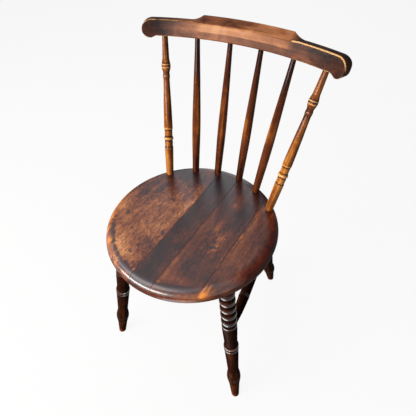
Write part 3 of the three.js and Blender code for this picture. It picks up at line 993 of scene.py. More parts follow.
@dataclass
class CrestRail:
    """The bent crest rail, leaning back, with a raised middle and rounded ears.

    Attributes:
        seat: The seat that it stands over.
        overhang: How far its front face stands behind the seat's back edge.
        radius: Radius of its front face in plan.
        lean: Degrees that it leans back.
        tilt: Degrees that its right end hangs lower.
        offset: How far its middle is off the centre line.
        thickness: Front to back.
        bottom: Height of its lower edge above the floor.
        height: Height of its plain parts.
        top_fall: How much lower the plain top is at the back.
        length: Length along the front face, seen square on.
        hump_height: Rise of the raised middle at the back.
        hump_length: Length of the raised middle.
        hump_run: Length over which it comes down.
        fold: Drop of the raised middle's front edge.
        end_height: Height of the rounded ends' middle.
        end_round: Length of each end's upper curve.
        ear_drop: How far the left and right ears hang down.
        ear_length: Length of the left and right ears' lower curve.
        ear_run: Length over which an ear drops.
        arris: Rounding of the long corners.
        nose: Rounding of the ends' front and back corners.
        tightest: Share of the room at the ends that their rounding may take.
        end_reach: Length of each end where the sections crowd.
        sections: How many sections lie in each end, and between the ends.
        last_turn: Degrees of the quarter turn at which the last section lies.
        section_points: Points round a corner, up a face and across an edge, their ends counted.
        grain_shift: Where the rail's grain starts.
        wear: Where the corners are rubbed, where dark stain and painted shade darken it, and where a
            highlight is painted along the fold.
    """

    seat: Seat
    overhang: float = 26.0
    radius: float = 475.0
    lean: float = 12.2
    tilt: float = 0.45
    offset: float = -3.0
    thickness: float = 19.7
    bottom: float = 742.3
    height: float = 30.6
    top_fall: float = 1.6
    length: float = 413.5
    hump_height: float = 10.0
    hump_length: float = 181.0
    hump_run: float = 24.0
    fold: float = 3.2
    end_height: float = 10.5
    end_round: float = 20.0
    ear_drop: Pair = (4.2, 5.4)
    ear_length: Pair = (15.5, 12.5)
    ear_run: float = 12.5
    arris: float = 2.2
    nose: Pair = (2.0, 5.0)
    tightest: float = 0.9
    end_reach: float = 22.0
    sections: tuple[int, int] = (40, 230)
    last_turn: float = 88.5
    section_points: tuple[int, int, int] = (7, 26, 12)
    grain_shift: Place = (120.0, -60.0, 35.0)
    wear: CrestWearAndPaintedLight = CrestWearAndPaintedLight()

    def place(self, across: Grid, depth: Grid, height: Grid) -> Grid:
        """A point of the rail from its distance across, its depth behind the front face and height.

        The front face lies on a cone: its radius in plan grows with height by the tangent of the
        lean. The angle round the cone is the arc sine of the distance across over the radius. The
        height falls with the distance across by the tangent of the tilt.

        Args:
            across: Distance from the chair's centre line along the front face.
            depth: Distance behind the front face.
            height: Height above the floor.

        Returns:
            Points, with their three coordinates last.
        """
        lean = math.radians(self.lean)
        centre = self.seat.depth / 2 + self.overhang - self.radius
        turn = np.arcsin(across / self.radius)
        radius = self.radius + depth / math.cos(lean) + (height - self.bottom) * math.tan(lean)
        drop = across * math.tan(math.radians(self.tilt))
        right, behind = radius * np.sin(turn), centre + radius * np.cos(turn)
        return np.stack([right, behind, height - drop], axis=-1)

    def stations(self) -> Grid:
        """Where the sections lie across the rail: evenly, and crowding towards the two ends.

        Returns:
            Distances from the rail's middle, from left to right.
        """
        plain_end = self.length / 2 - self.end_reach
        plain = np.linspace(-plain_end, plain_end, self.sections[1])
        turn = np.radians(np.linspace(0, self.last_turn, self.sections[0]))[1:]
        end = plain_end + self.end_reach * np.sin(turn)
        return np.concatenate([-end[::-1], plain, end])

    def hump(self, across: Grid) -> Grid:
        """How much of the raised middle there is: the square of what is left of its run, 1 to 0."""
        past = np.clip((np.abs(across) - self.hump_length / 2) / self.hump_run, 0, 1)
        return (1 - past) ** 2

    def lower_edge(self, across: Grid) -> Grid:
        """Height of the lower edge: it drops in an ear, then closes on a quarter oval.

        Args:
            across: Distances across the rail.

        Returns:
            Heights above the floor.
        """
        far = np.abs(across)
        left = across < 0
        drop = np.where(left, *self.ear_drop)
        length = np.where(left, *self.ear_length)
        ear_at = self.length / 2 - length
        step = smooth(far, ear_at - self.ear_run, ear_at)
        closing = np.clip((far - ear_at) / length, 0, 1)
        middle = self.bottom + self.end_height
        ear = self.bottom - drop * step
        return middle - (middle - ear) * np.sqrt(1 - closing**2)

    def upper_edge(self, across: Grid, front: bool) -> Grid:
        """Height of the upper edge, with the raised middle and the ends closed on quarter ovals.

        Args:
            across: Distances across the rail.
            front: Whether it is the front face's edge, else the back face's.

        Returns:
            Heights above the floor.
        """
        plain = self.bottom + self.height - (0.0 if front else self.top_fall)
        top = plain + self.hump(across) * (-self.fold if front else self.hump_height)
        closing = np.clip((np.abs(across) - self.length / 2 + self.end_round) / self.end_round, 0, 1)
        middle = self.bottom + self.end_height
        return middle + (top - middle) * np.sqrt(1 - closing**2)

    def surface(self) -> Surface:
        """The rail as sections square to its length.

        Each section is a loop of four flat sides and four quarter-round corners. It is worked out
        in two numbers, depth and height: along a flat side one of them runs evenly, and at a
        corner both follow the sine and cosine of a quarter turn times the corner's radius. At
        each end of the rail the depth shrinks on a quarter circle too, so the ends are rounded.

        Returns:
            The grid, from the left end to the right.
        """
        across = self.stations()[:, None]
        low = self.lower_edge(across)
        front_high = self.upper_edge(across, True)
        back_high = self.upper_edge(across, False)
        far = np.abs(across) - self.length / 2
        rounded = [n * (1 - np.sqrt(1 - np.clip((far + n) / n, 0, 1) ** 2)) for n in self.nose]
        near, thick = rounded[0], self.thickness - rounded[1]
        room = np.minimum(np.minimum(front_high, back_high) - low, thick - near) / 2
        soft = np.minimum(self.arris, room * self.tightest)
        quarter = np.linspace(0, math.pi / 2, self.section_points[0])
        side, base = (np.linspace(0, 1, count)[1:-1] for count in self.section_points[1:])
        curve, rest = 1 - np.cos(quarter), 1 - np.sin(quarter)
        zero, one = np.zeros_like, np.ones_like

        def row(*parts: tuple[Grid, ...]) -> list[Grid]:
            """The loop's parts joined, as one row for each of their numbers."""
            return [np.concatenate(values)[None, :] for values in zip(*parts)]

        # A part's four rows: share of the depth, corners of depth, share of the height, corners of height
        share_d, corner_d, share_h, corner_h = row(
            (zero(quarter), curve, zero(quarter), rest),
            (base, 1 - 2 * base, zero(base), zero(base)),
            (one(quarter), -rest, zero(quarter), curve),
            (one(side), zero(side), side, 1 - 2 * side),
            (one(quarter), -curve, one(quarter), -rest),
            (1 - base, 2 * base - 1, one(base), zero(base)),
            (zero(quarter), rest, one(quarter), -curve),
            (zero(side), zero(side), 1 - side, 2 * side - 1),
        )
        depth = near + share_d * (thick - near) + corner_d * soft
        part = np.clip(depth / self.thickness, 0, 1)
        high = front_high + (back_high - front_high) * part
        height = low + share_h * (high - low) + corner_h * soft
        wide = np.broadcast_to(across, depth.shape)
        points = self.place(self.offset + wide, depth, height)
        in_corner = (np.abs(corner_d) < 1) & (np.abs(corner_h) < 1) & (corner_d != 0) & (corner_h != 0)
        marks = self.wear.marks(wide, part, self.hump(wide), share_h > 0.5, share_d < 0.5, in_corner)
        grain = np.stack([height - self.bottom, depth, wide], axis=-1) + self.grain_shift
        return Surface(points[:, ::-1], grain[:, ::-1], {k: v[:, ::-1] for k, v in marks.items()})

    def build(self, shop: Workshop) -> None:
        """Makes the rail."""
        shop.make("crest_rail", self.surface(), Slot.CREST)


@dataclass(frozen=True)
class LegTurning:
    """The turning of a leg, from the floor to the seat. A form is a length and a diameter.

    Attributes:
        tip: Diameter at the floor.
        foot: The foot, up to its ankle's diameter.
        ankle: The ankle bead, with its crown's diameter, which is its upper root's too.
        bulb: Half the length from the bead to the bulb's middle, and the bulb's diameter.
        bulb_end: Half the length from there to the vase, and the vase's lower diameter.
        vase: The long taper, up to its upper diameter.
        ring: The ring bead.
        ring_root: Diameter over the ring.
        collar: The collar bead.
        neck: The plain neck over the collar, with its diameter.
        swell: The swelling stretch, up to its diameter.
        band_length: Length of the plain band over it.
        groove: The groove under the bobbins, with the bobbins' root diameter.
        bobbin: A bobbin, with its crown's diameter.
        bobbins: How many bobbins there are.
        shoulder: The shoulder over them, down to the diameter of the leg's tenon.
        tenon_length: Length of the tenon's part of the outline.
        score_steps: Heights over a bobbin's start at which it is scored.
        score_depth: Depth of the scores.
        rub_at: Height of the rubbed ring at the ankle.
    """

    tip: float = 19.6
    foot: Pair = (48.8, 25.6)
    ankle: Pair = (12.0, 28.2)
    bulb: Pair = (12.75, 34.0)
    bulb_end: Pair = (15.0, 26.4)
    vase: Pair = (86.2, 33.2)
    ring: Pair = (8.5, 35.0)
    ring_root: float = 31.8
    collar: Pair = (11.5, 35.8)
    neck: Pair = (10.5, 30.6)
    swell: Pair = (43.5, 34.0)
    band_length: float = 17.2
    groove: Pair = (3.8, 30.2)
    bobbin: Pair = (21.3, 35.0)
    bobbins: int = 5
    shoulder: Pair = (9.2, 24.0)
    tenon_length: float = 8.0
    score_steps: Pair = (7.0, 14.0)
    score_depth: float = 0.3
    rub_at: float = 55.0

    def outline(self) -> Outline:
        """The leg's outline.

        Returns:
            It, from the floor up.
        """
        outline = (
            Outline(self.tip)
            .taper(*self.foot)
            .bead(*self.ankle, self.ankle[1])
            .flow(eased(self.bulb[0], self.ankle[1], self.bulb[1])
                  + eased(self.bulb_end[0], self.bulb[1], self.bulb_end[1]))
            .taper(*self.vase)
            .bead(*self.ring, self.ring_root)
            .bead(*self.collar, self.neck[1])
            .taper(*self.neck)
            .flow([self.swell])
            .taper(self.band_length, self.swell[1])
            .taper(*self.groove)
        )
        for _ in range(self.bobbins):
            outline.bead(*self.bobbin, self.groove[1])
        return outline.taper(*self.shoulder).taper(self.tenon_length, self.shoulder[1])

    def scores(self) -> tuple[Pair, ...]:
        """Places and depths of the thin grooves round the lowest and the highest bobbin.

        Returns:
            Each score's height in the outline and its depth.
        """
        forms = (self.foot, self.ankle, self.bulb, self.bulb, self.bulb_end, self.bulb_end, self.vase,
                 self.ring, self.collar, self.neck, self.swell, (self.band_length,), self.groove)
        lowest = sum(form[0] for form in forms)
        highest = lowest + (self.bobbins - 1) * self.bobbin[0]
        places = (start + step for start in (lowest, highest) for step in self.score_steps)
        return tuple((place, self.score_depth) for place in places)


def eased(length: float, start: float, end: float) -> list[Pair]:
    """Two stops of a smooth line, the first at two thirds of the way up from the smaller diameter."""
    small, large = min(start, end), max(start, end)
    return [(length, small + (large - small) * 2 / 3), (length, end)]


@dataclass(frozen=True)
class PostTurning:
    """The turning of a back post, from the seat to the crest rail. A form is a length and a diameter.

    Attributes:
        base: Diameter at the seat.
        shaft: The lower shaft, up to its upper diameter.
        root: The groove over the shaft, with the diameter between the beads.
        small_bead: The small bead over it.
        large_bead: The large bead over that.
        waist_length: Length of the plain waist.
        rise: The short flare over the waist.
        upper: Half the upper shaft, with the diameters at its middle and its end.
        upper_bead: The bead at its end.
        knob: The knob's lower half, with its greatest diameter.
        knob_end: Its upper half, down to its upper diameter.
        top: The plain top, up to its diameter at the rail.
        scores: Place and depth of each thin groove.
        rubs: Places of the rubbed rings.
    """

    base: float = 17.2
    shaft: Pair = (66.0, 20.2)
    root: Pair = (5.0, 17.9)
    small_bead: Pair = (12.0, 19.0)
    large_bead: Pair = (10.0, 22.2)
    waist_length: float = 13.0
    rise: Pair = (5.0, 20.0)
    upper: tuple[float, ...] = (54.5, 17.3, 13.5)
    upper_bead: Pair = (12.5, 15.2)
    knob: Pair = (14.0, 19.8)
    knob_end: Pair = (16.0, 14.5)
    top: Pair = (45.4, 11.8)
    scores: tuple[Pair, ...] = (
        (68.0, 0.4), (82.6, 0.4), (93.4, 0.4), (108.0, 0.4), (247.5, 0.5), (253.4, 0.5),
    )
    rubs: tuple[float, ...] = (72.4, 88.0, 111.6, 243.8, 250.4)

    def outline(self) -> Outline:
        """The post's outline.

        Returns:
            It, from the seat up.
        """
        half, middle, end = self.upper
        return (
            Outline(self.base)
            .taper(*self.shaft)
            .taper(*self.root)
            .bead(*self.small_bead, self.root[1])
            .bead(*self.large_bead, self.root[1])
            .taper(self.waist_length, self.root[1])
            .taper(*self.rise)
            .flow([(half, middle), (half, end)])
            .bead(*self.upper_bead, end)
            .flow([self.knob, self.knob_end])
            .taper(*self.top)
        )


def spindle_outline() -> Outline:
    """A plain spindle: its diameter at the seat, then the stops of its swell, its slim part and its top."""
    return Outline(16.2).flow([(108.5, 19.1), (97, 15.2), (93, 10.3)])


@dataclass(frozen=True)
class StretcherTurning:
    """The turning of a side stretcher, which is the same from either end.

    Attributes:
        end: Diameter at its ends.
        middle: Diameter of its plain middle.
        swell_length: Half the length over which it swells.
        bead: Length and diameter of each of the two beads on either side.
        middle_length: Length of its middle.
    """

    end: float = 14.8
    middle: float = 24.6
    swell_length: float = 36.0
    bead: Pair = (4.6, 26.2)
    middle_length: float = 72.0

    def outline(self) -> Outline:
        """The stretcher's outline.

        Returns:
            It, from the back leg to the front one.
        """
        outline = Outline(self.end).flow(eased(self.swell_length, self.end, self.middle))
        outline.bead(*self.bead, self.middle).bead(*self.bead, self.middle)
        outline.taper(self.middle_length, self.middle)
        outline.bead(*self.bead, self.middle).bead(*self.bead, self.middle)
        return outline.flow(eased(self.swell_length, self.middle, self.end))


@dataclass
class Undercarriage:
    """The four legs, the two side stretchers and the cross stretcher.

    Attributes:
        seat: The seat that it carries.
        setback: How far in from the seat's edge the front and back legs enter.
        angle: Where round the seat they enter, from the front-to-back line.
        splay: How far their feet stand out to the sides.
        reach: How far their feet stand out to the front or back.
        stretcher_height: Height of the stretchers.
        leg_radius: Radius of a leg where a stretcher meets it.
        end_cover: Wood left beyond a stretcher's tenon.
        leg: How a leg is turned.
        stretcher: How a side stretcher is turned.
        leg_tail: Length of a leg that the floor cuts off.
        leg_socket: How deep a leg goes into the seat.
        cross_middle: Diameter of the cross stretcher's middle.
        cross_tenon: How deep the cross stretcher goes into the side ones.
        seeds: Seeds of the legs', the side stretchers' and the cross stretcher's grain.
    """

    seat: Seat
    setback: Pair = (32.0, 24.0)
    angle: Pair = (55.8, 44.3)
    splay: Pair = (60.6, 20.0)
    reach: Pair = (38.0, 136.8)
    stretcher_height: float = 262.0
    leg_radius: float = 17.9
    end_cover: float = 5.0
    leg: LegTurning = LegTurning()
    stretcher: StretcherTurning = StretcherTurning()
    leg_tail: float = 19.6
    leg_socket: float = 15.0
    cross_middle: float = 22.0
    cross_tenon: float = 9.3
    seeds: tuple[int, int, int] = (11, 30, 33)

    def leg_line(self, side: Side, end: End) -> tuple[Grid, Grid]:
        """A leg's line.

        Args:
            side: The leg's side of the chair.
            end: Its end of the chair.

        Returns:
            Its foot on the floor and its top under the seat.
        """
        index = 0 if end is End.FRONT else 1
        top = self.seat.place(self.setback[index], self.angle[index], side, end, self.seat.underside)
        step = np.array([side.value * self.splay[index], end.value * self.reach[index], -top[2]])
        return top + step, top

    def stretcher_line(self, side: Side) -> tuple[Grid, Grid]:
        """A side stretcher's line.

        Args:
            side: Its side of the chair.

        Returns:
            Where it leaves the back leg and where it meets the front leg.
        """
        share = self.stretcher_height / self.seat.underside
        legs = (self.leg_line(side, End.BACK), self.leg_line(side, End.FRONT))
        back, front = (foot + (top - foot) * share for foot, top in legs)
        step = (front - back) / np.linalg.norm(front - back) * self.leg_radius
        return back + step, front - step

    def build(self, shop: Workshop) -> None:
        """Makes the four legs and the three stretchers.

        Args:
            shop: Where they are made.
        """
        self.build_legs(shop)
        middles = [self.build_side_stretcher(side, shop) for side in Side]
        self.build_cross_stretcher(*middles, shop)

    def build_legs(self, shop: Workshop) -> None:
        """Makes the legs.

        Args:
            shop: Where they are made.
        """
        for side in Side:
            for end in End:
                foot, top = self.leg_line(side, end)
                leg = Turned(self.leg.outline(), foot, top, self.leg_tail, self.leg_socket,
                             seed=self.seeds[0] + side.value + 3 * end.value,
                             scores=self.leg.scores(), pale=(self.leg.rub_at,), floor=True)
                shop.make(f"leg_{end.name.lower()}_{side.name.lower()}", leg.surface(), Slot.LEG)

    def build_side_stretcher(self, side: Side, shop: Workshop) -> Grid:
        """Makes a side stretcher.

        Args:
            side: Its side of the chair.
            shop: Where it is made.

        Returns:
            The middle of its line.
        """
        start, finish = self.stretcher_line(side)
        tenon = self.leg_radius - self.end_cover
        piece = Turned(self.stretcher.outline(), start, finish, tenon, tenon, step=1.0,
                       seed=self.seeds[1] + side.value)
        shop.make(f"stretcher_{side.name.lower()}", piece.surface(), Slot.LEG)
        return (start + finish) / 2

    def build_cross_stretcher(self, left: Grid, right: Grid, shop: Workshop) -> None:
        """Makes the cross stretcher.

        Args:
            left: The middle of the left side stretcher.
            right: The middle of the right one.
            shop: Where it is made.
        """
        step = (left - right) / np.linalg.norm(left - right) * (self.stretcher.middle / 2)
        start, finish = right + step, left - step
        half = float(np.linalg.norm(finish - start)) / 2
        outline = Outline(self.stretcher.end).flow([(half, self.cross_middle), (half, self.stretcher.end)])
        cross = Turned(outline, start, finish, self.cross_tenon, self.cross_tenon, step=3.0,
                       seed=self.seeds[2])
        shop.make("stretcher_cross", cross.surface(), Slot.LEG)


@dataclass
class Back:
    """The posts and spindles between the seat and the crest rail.

    Attributes:
        seat: The seat that they stand in.
        crest: The rail that they hold.
        socket: How deep they go into the seat.
        crest_socket: How deep they go into the rail.
        post: How a post is turned.
        post_setback: How far in from the seat's edge the posts stand.
        post_angle: Where round the seat they stand, from the front-to-back line.
        post_reach: How far from the centre line they meet the rail.
        spindle_setback: How far in from the seat's edge the spindles stand.
        spindles: Each spindle's side, its angle round the seat and its distance out at the rail.
        seeds: Seeds of the posts' and the spindles' grain.
        sides: Points round a post or a spindle.
    """

    seat: Seat
    crest: CrestRail
    socket: float = 12.5
    crest_socket: float = 12.0
    post: PostTurning = PostTurning()
    post_setback: float = 14.5
    post_angle: float = 50.7
    post_reach: float = 167.5
    spindle_setback: float = 17.0
    spindles: tuple[tuple[Side, float, float], ...] = (
        (Side.LEFT, 28.9, 101.8), (Side.LEFT, 10.0, 32.8), (Side.RIGHT, 10.0, 32.8),
        (Side.RIGHT, 28.9, 101.8),
    )
    seeds: tuple[int, int] = (50, 60)
    sides: int = 32

    def line(self, setback: float, angle: float, side: Side, reach: float) -> tuple[Grid, Grid]:
        """The line of a post or a spindle.

        Args:
            setback: Distance in from the seat's edge.
            angle: Degrees round the seat from the front-to-back line.
            side: Its side of the chair.
            reach: Its distance from the centre line at the rail.

        Returns:
            Where it leaves the seat and where it meets the crest rail's underside.
        """
        low = self.seat.place(setback, angle, side, End.BACK, self.seat.height)
        middle = np.array(self.crest.thickness / 2)
        high = self.crest.place(np.array(side.value * reach), middle, np.array(self.crest.bottom))
        return low, high

    def build(self, shop: Workshop) -> None:
        """Makes the two posts and the four spindles.

        Args:
            shop: Where they are made.
        """
        for side in Side:
            low, high = self.line(self.post_setback, self.post_angle, side, self.post_reach)
            post = Turned(self.post.outline(), low, high, self.socket, self.crest_socket, step=0.7,
                          sides=self.sides, seed=self.seeds[0] + side.value,
                          scores=self.post.scores, pale=self.post.rubs)
            shop.make(f"post_{side.name.lower()}", post.surface(), Slot.POST)
        for number, (side, angle, reach) in enumerate(self.spindles, start=1):
            low, high = self.line(self.spindle_setback, angle, side, reach)
            spindle = Turned(spindle_outline(), low, high, self.socket, self.crest_socket, step=2.4,
                             sides=self.sides, seed=self.seeds[1] + number)
            shop.make(f"spindle_{number}", spindle.surface(), Slot.SPINDLE)


class Bench:
    """Lays out the nodes of a material or of the surroundings."""

    def __init__(self, owner: Material | bpy.types.World) -> None:
        """Clears the nodes that a new material or world starts with.

        Args:
            owner: The material or world.
        """
        self.owner = owner
        owner.use_nodes = True
        self.tree = owner.node_tree
        self.tree.nodes.clear()

    def node(self, kind: str, **settings: object) -> bpy.types.Node:
        """Adds a node.

        Args:
            kind: The node's type.
            **settings: Fields to set on it.

        Returns:
            The node.
        """
        made = self.tree.nodes.new(kind)
        for key, value in settings.items():
            setattr(made, key, value)
        return made

    def feed(self, socket: Socket, value: Feed) -> None:
        """Sets a socket to a number or colour, or links another socket to it.

        Args:
            socket: The socket that is fed.
            value: What it gets.
        """
        if isinstance(value, Socket):
            self.tree.links.new(value, socket)
        elif isinstance(value, tuple) and socket.type == "RGBA":
            socket.default_value = (*value, 1.0)
        else:
            socket.default_value = value

    def made(self, kind: str, *values: Feed, output: int = 0, **settings: object) -> Socket:
        """Adds a node and feeds its sockets in order.

        Args:
            kind: The node's type.
            *values: What its sockets get, from the first one on.
            output: Number of the output that is wanted.
            **settings: Fields to set on it.

        Returns:
            That output.
        """
        node = self.node(kind, **settings)
        for socket, value in zip(node.inputs, values):
            self.feed(socket, value)
        return node.outputs[output]

    def read(self, name: str, output: str = "Fac") -> Socket:
        """A mark stored on the piece."""
        return self.node("ShaderNodeAttribute", attribute_name=name).outputs[output]

    def noise(self, vector: Socket, cells: Place, detail: float = 3.0, rough: float = 0.55,
              twist: float = 0.0) -> Socket:
        """Soft noise, 0 to 1.

        Args:
            vector: Where it is looked up.
            cells: Cells to the metre in each direction.
            detail: How many finer layers it has.
            rough: Strength of each layer beside the one before.
            twist: How much it is swirled.

        Returns:
            The noise.
        """
        mapping = self.node("ShaderNodeMapping")
        self.feed(mapping.inputs["Vector"], vector)
        mapping.inputs["Scale"].default_value = cells
        texture = self.node("ShaderNodeTexNoise")
        settings = {"Vector": mapping.outputs[0], "Scale": 1.0, "Detail": detail, "Roughness": rough,
                    "Distortion": twist}
        for name, value in settings.items():
            self.feed(texture.inputs[name], value)
        return texture.outputs["Fac"]

    def maths(self, kind: str, a: Feed, b: Feed) -> Socket:
        """One sum on two numbers."""
        return self.made("ShaderNodeMath", a, b, operation=kind)

    def plus(self, value: Feed, other: Feed, weight: Feed) -> Socket:
        """A number plus another times a weight."""
        return self.maths("ADD", value, self.maths("MULTIPLY", other, weight))

    def sway(self, value: Feed, texture: Socket, weight: Feed) -> Socket:
        """A number plus a texture's distance from its middle, 0.5, times a weight."""
        return self.plus(value, self.maths("SUBTRACT", texture, 0.5), weight)

    def span(self, value: Feed, low: float, high: float, to_low: float = 0.0, to_high: float = 1.0,
             kind: str = "SMOOTHSTEP") -> Socket:
        """A step of a number: to_low up to low, to_high from high on, and smooth or linear between."""
        return self.made("ShaderNodeMapRange", value, low, high, to_low, to_high, interpolation_type=kind)

    def ramp(self, value: Feed, stops: list[tuple[float, Colour]]) -> Socket:
        """A colour that runs through several stops.

        Args:
            value: Where it is read, 0 to 1.
            stops: Place and colour of each stop.

        Returns:
            The colour.
        """
        ramp = self.node("ShaderNodeValToRGB")
        self.feed(ramp.inputs[0], value)
        elements = ramp.color_ramp.elements
        while len(elements) < len(stops):
            elements.new(0.5)
        for element, (place, colour) in zip(elements, stops):
            element.position = place
            element.color = (*colour, 1.0)
        return ramp.outputs[0]

    def blend(self, share: Feed, a: Feed, b: Feed, kind: str = "MIX") -> Socket:
        """Two colours mixed.

        Args:
            share: Share of the second one.
            a: The first colour.
            b: The second colour.
            kind: How they are mixed.

        Returns:
            The colour.
        """
        mix = self.node("ShaderNodeMix", data_type="RGBA", blend_type=kind)
        for number, value in ((0, share), (6, a), (7, b)):
            self.feed(mix.inputs[number], value)
        return mix.outputs[2]

    def bump(self, height: Feed, distance: float, normal: Socket | None = None) -> Socket:
        """A normal from a height.

        Args:
            height: The height, 0 to 1.
            distance: The depth of its full step, in metres.
            normal: The normal that it starts from, if not the surface's own.

        Returns:
            The normal.
        """
        bump = self.node("ShaderNodeBump")
        bump.inputs["Distance"].default_value = distance
        self.feed(bump.inputs["Height"], height)
        if normal is not None:
            self.feed(bump.inputs["Normal"], normal)
        return bump.outputs[0]

    def close(self, shader: Socket, kind: str = "Material") -> Material | bpy.types.World:
        """Links the shader to the output, and gives back the finished material or world."""
        self.feed(self.node(f"ShaderNodeOutput{kind}").inputs["Surface"], shader)
        return self.owner


@dataclass(frozen=True)
class Varnish:
    """How a finish shines.

    Attributes:
        rough: Roughness of the stained wood under the varnish.
        gloss: Mirror-like share of the stained wood itself.
        coat: Weight of the varnish.
        coat_rough: Roughness of the varnish.
        coat_bend: How strongly the varnish bends light, its index of refraction.
        wood_bump: Depth of the fibres, in metres.
        film_bump: Depth of the varnish's slow waves, in metres.
    """

    rough: float = 0.42
    gloss: float = 0.1
    coat: float = 0.4
    coat_rough: float = 0.14
    coat_bend: float = 1.5
    wood_bump: float = 0.00012
    film_bump: float = 0.00006

    def apply(self, bench: Bench, grain: Socket, colour: Socket, fibre: Socket,
              rough: Socket | None = None, coat: Socket | None = None) -> Material:
        """Closes a material with varnished wood.

        Args:
            bench: The material under way.
            grain: The wood's own directions.
            colour: Its colour.
            fibre: Height of its fibres.
            rough: Roughness under the varnish, if it varies.
            coat: Weight of the varnish, if it varies.

        Returns:
            The finished material.
        """
        shader = bench.node("ShaderNodeBsdfPrincipled")
        film = bench.bump(bench.noise(grain, (90, 90, 40), 2.0), self.film_bump)
        settings = {
            "Base Color": colour,
            "Roughness": self.rough if rough is None else rough,
            "Normal": bench.bump(fibre, self.wood_bump, film),
            "Specular IOR Level": self.gloss,
            "Coat Weight": self.coat if coat is None else coat,
            "Coat Roughness": self.coat_rough,
            "Coat IOR": self.coat_bend,
            "Coat Normal": film,
        }
        for name, value in settings.items():
            bench.feed(shader.inputs[name], value)
        return bench.close(shader.outputs[0])


@dataclass(frozen=True)
class SeatFinish:
    """Stained, varnished and worn seat boards.

    Attributes:
        name: Name of the material.
        mottle: Strength of the cloudy patches.
        crackle: Strength of the fine speckle.
        veins: Depth of the dark wandering lines.
        warm: Added lightness of the whole board.
        varnish: How it shines where it is polished.
    """

    name: str
    mottle: float
    crackle: float
    veins: float
    warm: float
    varnish: Varnish = Varnish(
        rough=0.36, gloss=0.0, coat=1.0, coat_rough=0.28, coat_bend=1.75, film_bump=0.00001,
    )

    def build(self) -> Material:
        """Stain from dark to amber by the mark amber, dark spots, bare patches and curled figure.

        Returns:
            The material.
        """
        bench = Bench(bpy.data.materials.new(self.name))
        grain = bench.read("grain", "Vector")
        fibre = bench.noise(grain, (230, 230, 18), 3.0, 0.55)
        streak = bench.noise(grain, (90, 90, 6), 3.0, 0.5)
        cloud = bench.noise(grain, (24, 24, 16), 5.0, 0.62, 0.6)
        speck = bench.noise(grain, (170, 170, 70), 5.0, 0.75, 1.4)
        curl = bench.noise(grain, (190, 190, 70), 3.0, 0.6, 1.8)
        vein = bench.noise(grain, (62, 62, 48), 4.0, 0.6, 1.6)
        rag = bench.noise(grain, (110, 110, 55), 5.0, 0.68, 1.0)
        level = bench.maths("ADD", bench.read("amber"), self.warm)
        for texture, weight in ((cloud, self.mottle), (speck, self.crackle), (streak, 0.3),
                                (fibre, 0.42), (curl, bench.read("curl"))):
            level = bench.sway(level, texture, weight)
        vein = bench.maths("ABSOLUTE", bench.maths("SUBTRACT", vein, 0.5), 0.0)
        level = bench.maths("SUBTRACT", level, bench.span(vein, 0.05, 0.0, 0.0, self.veins))
        colour = bench.ramp(level, [
            (0.0, (0.014, 0.004, 0.005)),
            (0.14, (0.045, 0.010, 0.008)),
            (0.34, (0.115, 0.026, 0.010)),
            (0.56, (0.225, 0.066, 0.022)),
            (0.78, (0.38, 0.138, 0.05)),
            (1.0, (0.65, 0.28, 0.105)),
        ])
        redder = bench.blend(1.0, colour, (1.0, 0.45, 0.22), "MULTIPLY")
        colour = bench.blend(bench.maths("MULTIPLY", bench.read("edge"), 0.85), colour, redder)
        spot = bench.sway(bench.read("stain"), rag, 1.9)
        colour = bench.blend(bench.span(spot, 0.3, 0.62, 0.0, 0.88), colour, (0.026, 0.010, 0.017))
        rub = bench.sway(bench.sway(bench.read("bare"), streak, 0.9), rag, 0.5)
        bare = bench.ramp(streak, [(0.3, (0.45, 0.11, 0.016)), (0.65, (1.0, 0.33, 0.045))])
        colour = bench.blend(bench.span(rub, 0.2, 0.85, 0.0, 0.95), colour, bare)
        rough = bench.span(speck, 0.3, 0.7, self.varnish.rough - 0.08, self.varnish.rough + 0.1)
        relief = bench.plus(fibre, speck, 0.5)
        coat = bench.span(bench.read("polish"), 0.0, 1.0, 0.1, self.varnish.coat)
        return self.varnish.apply(bench, grain, colour, relief, rough, coat)


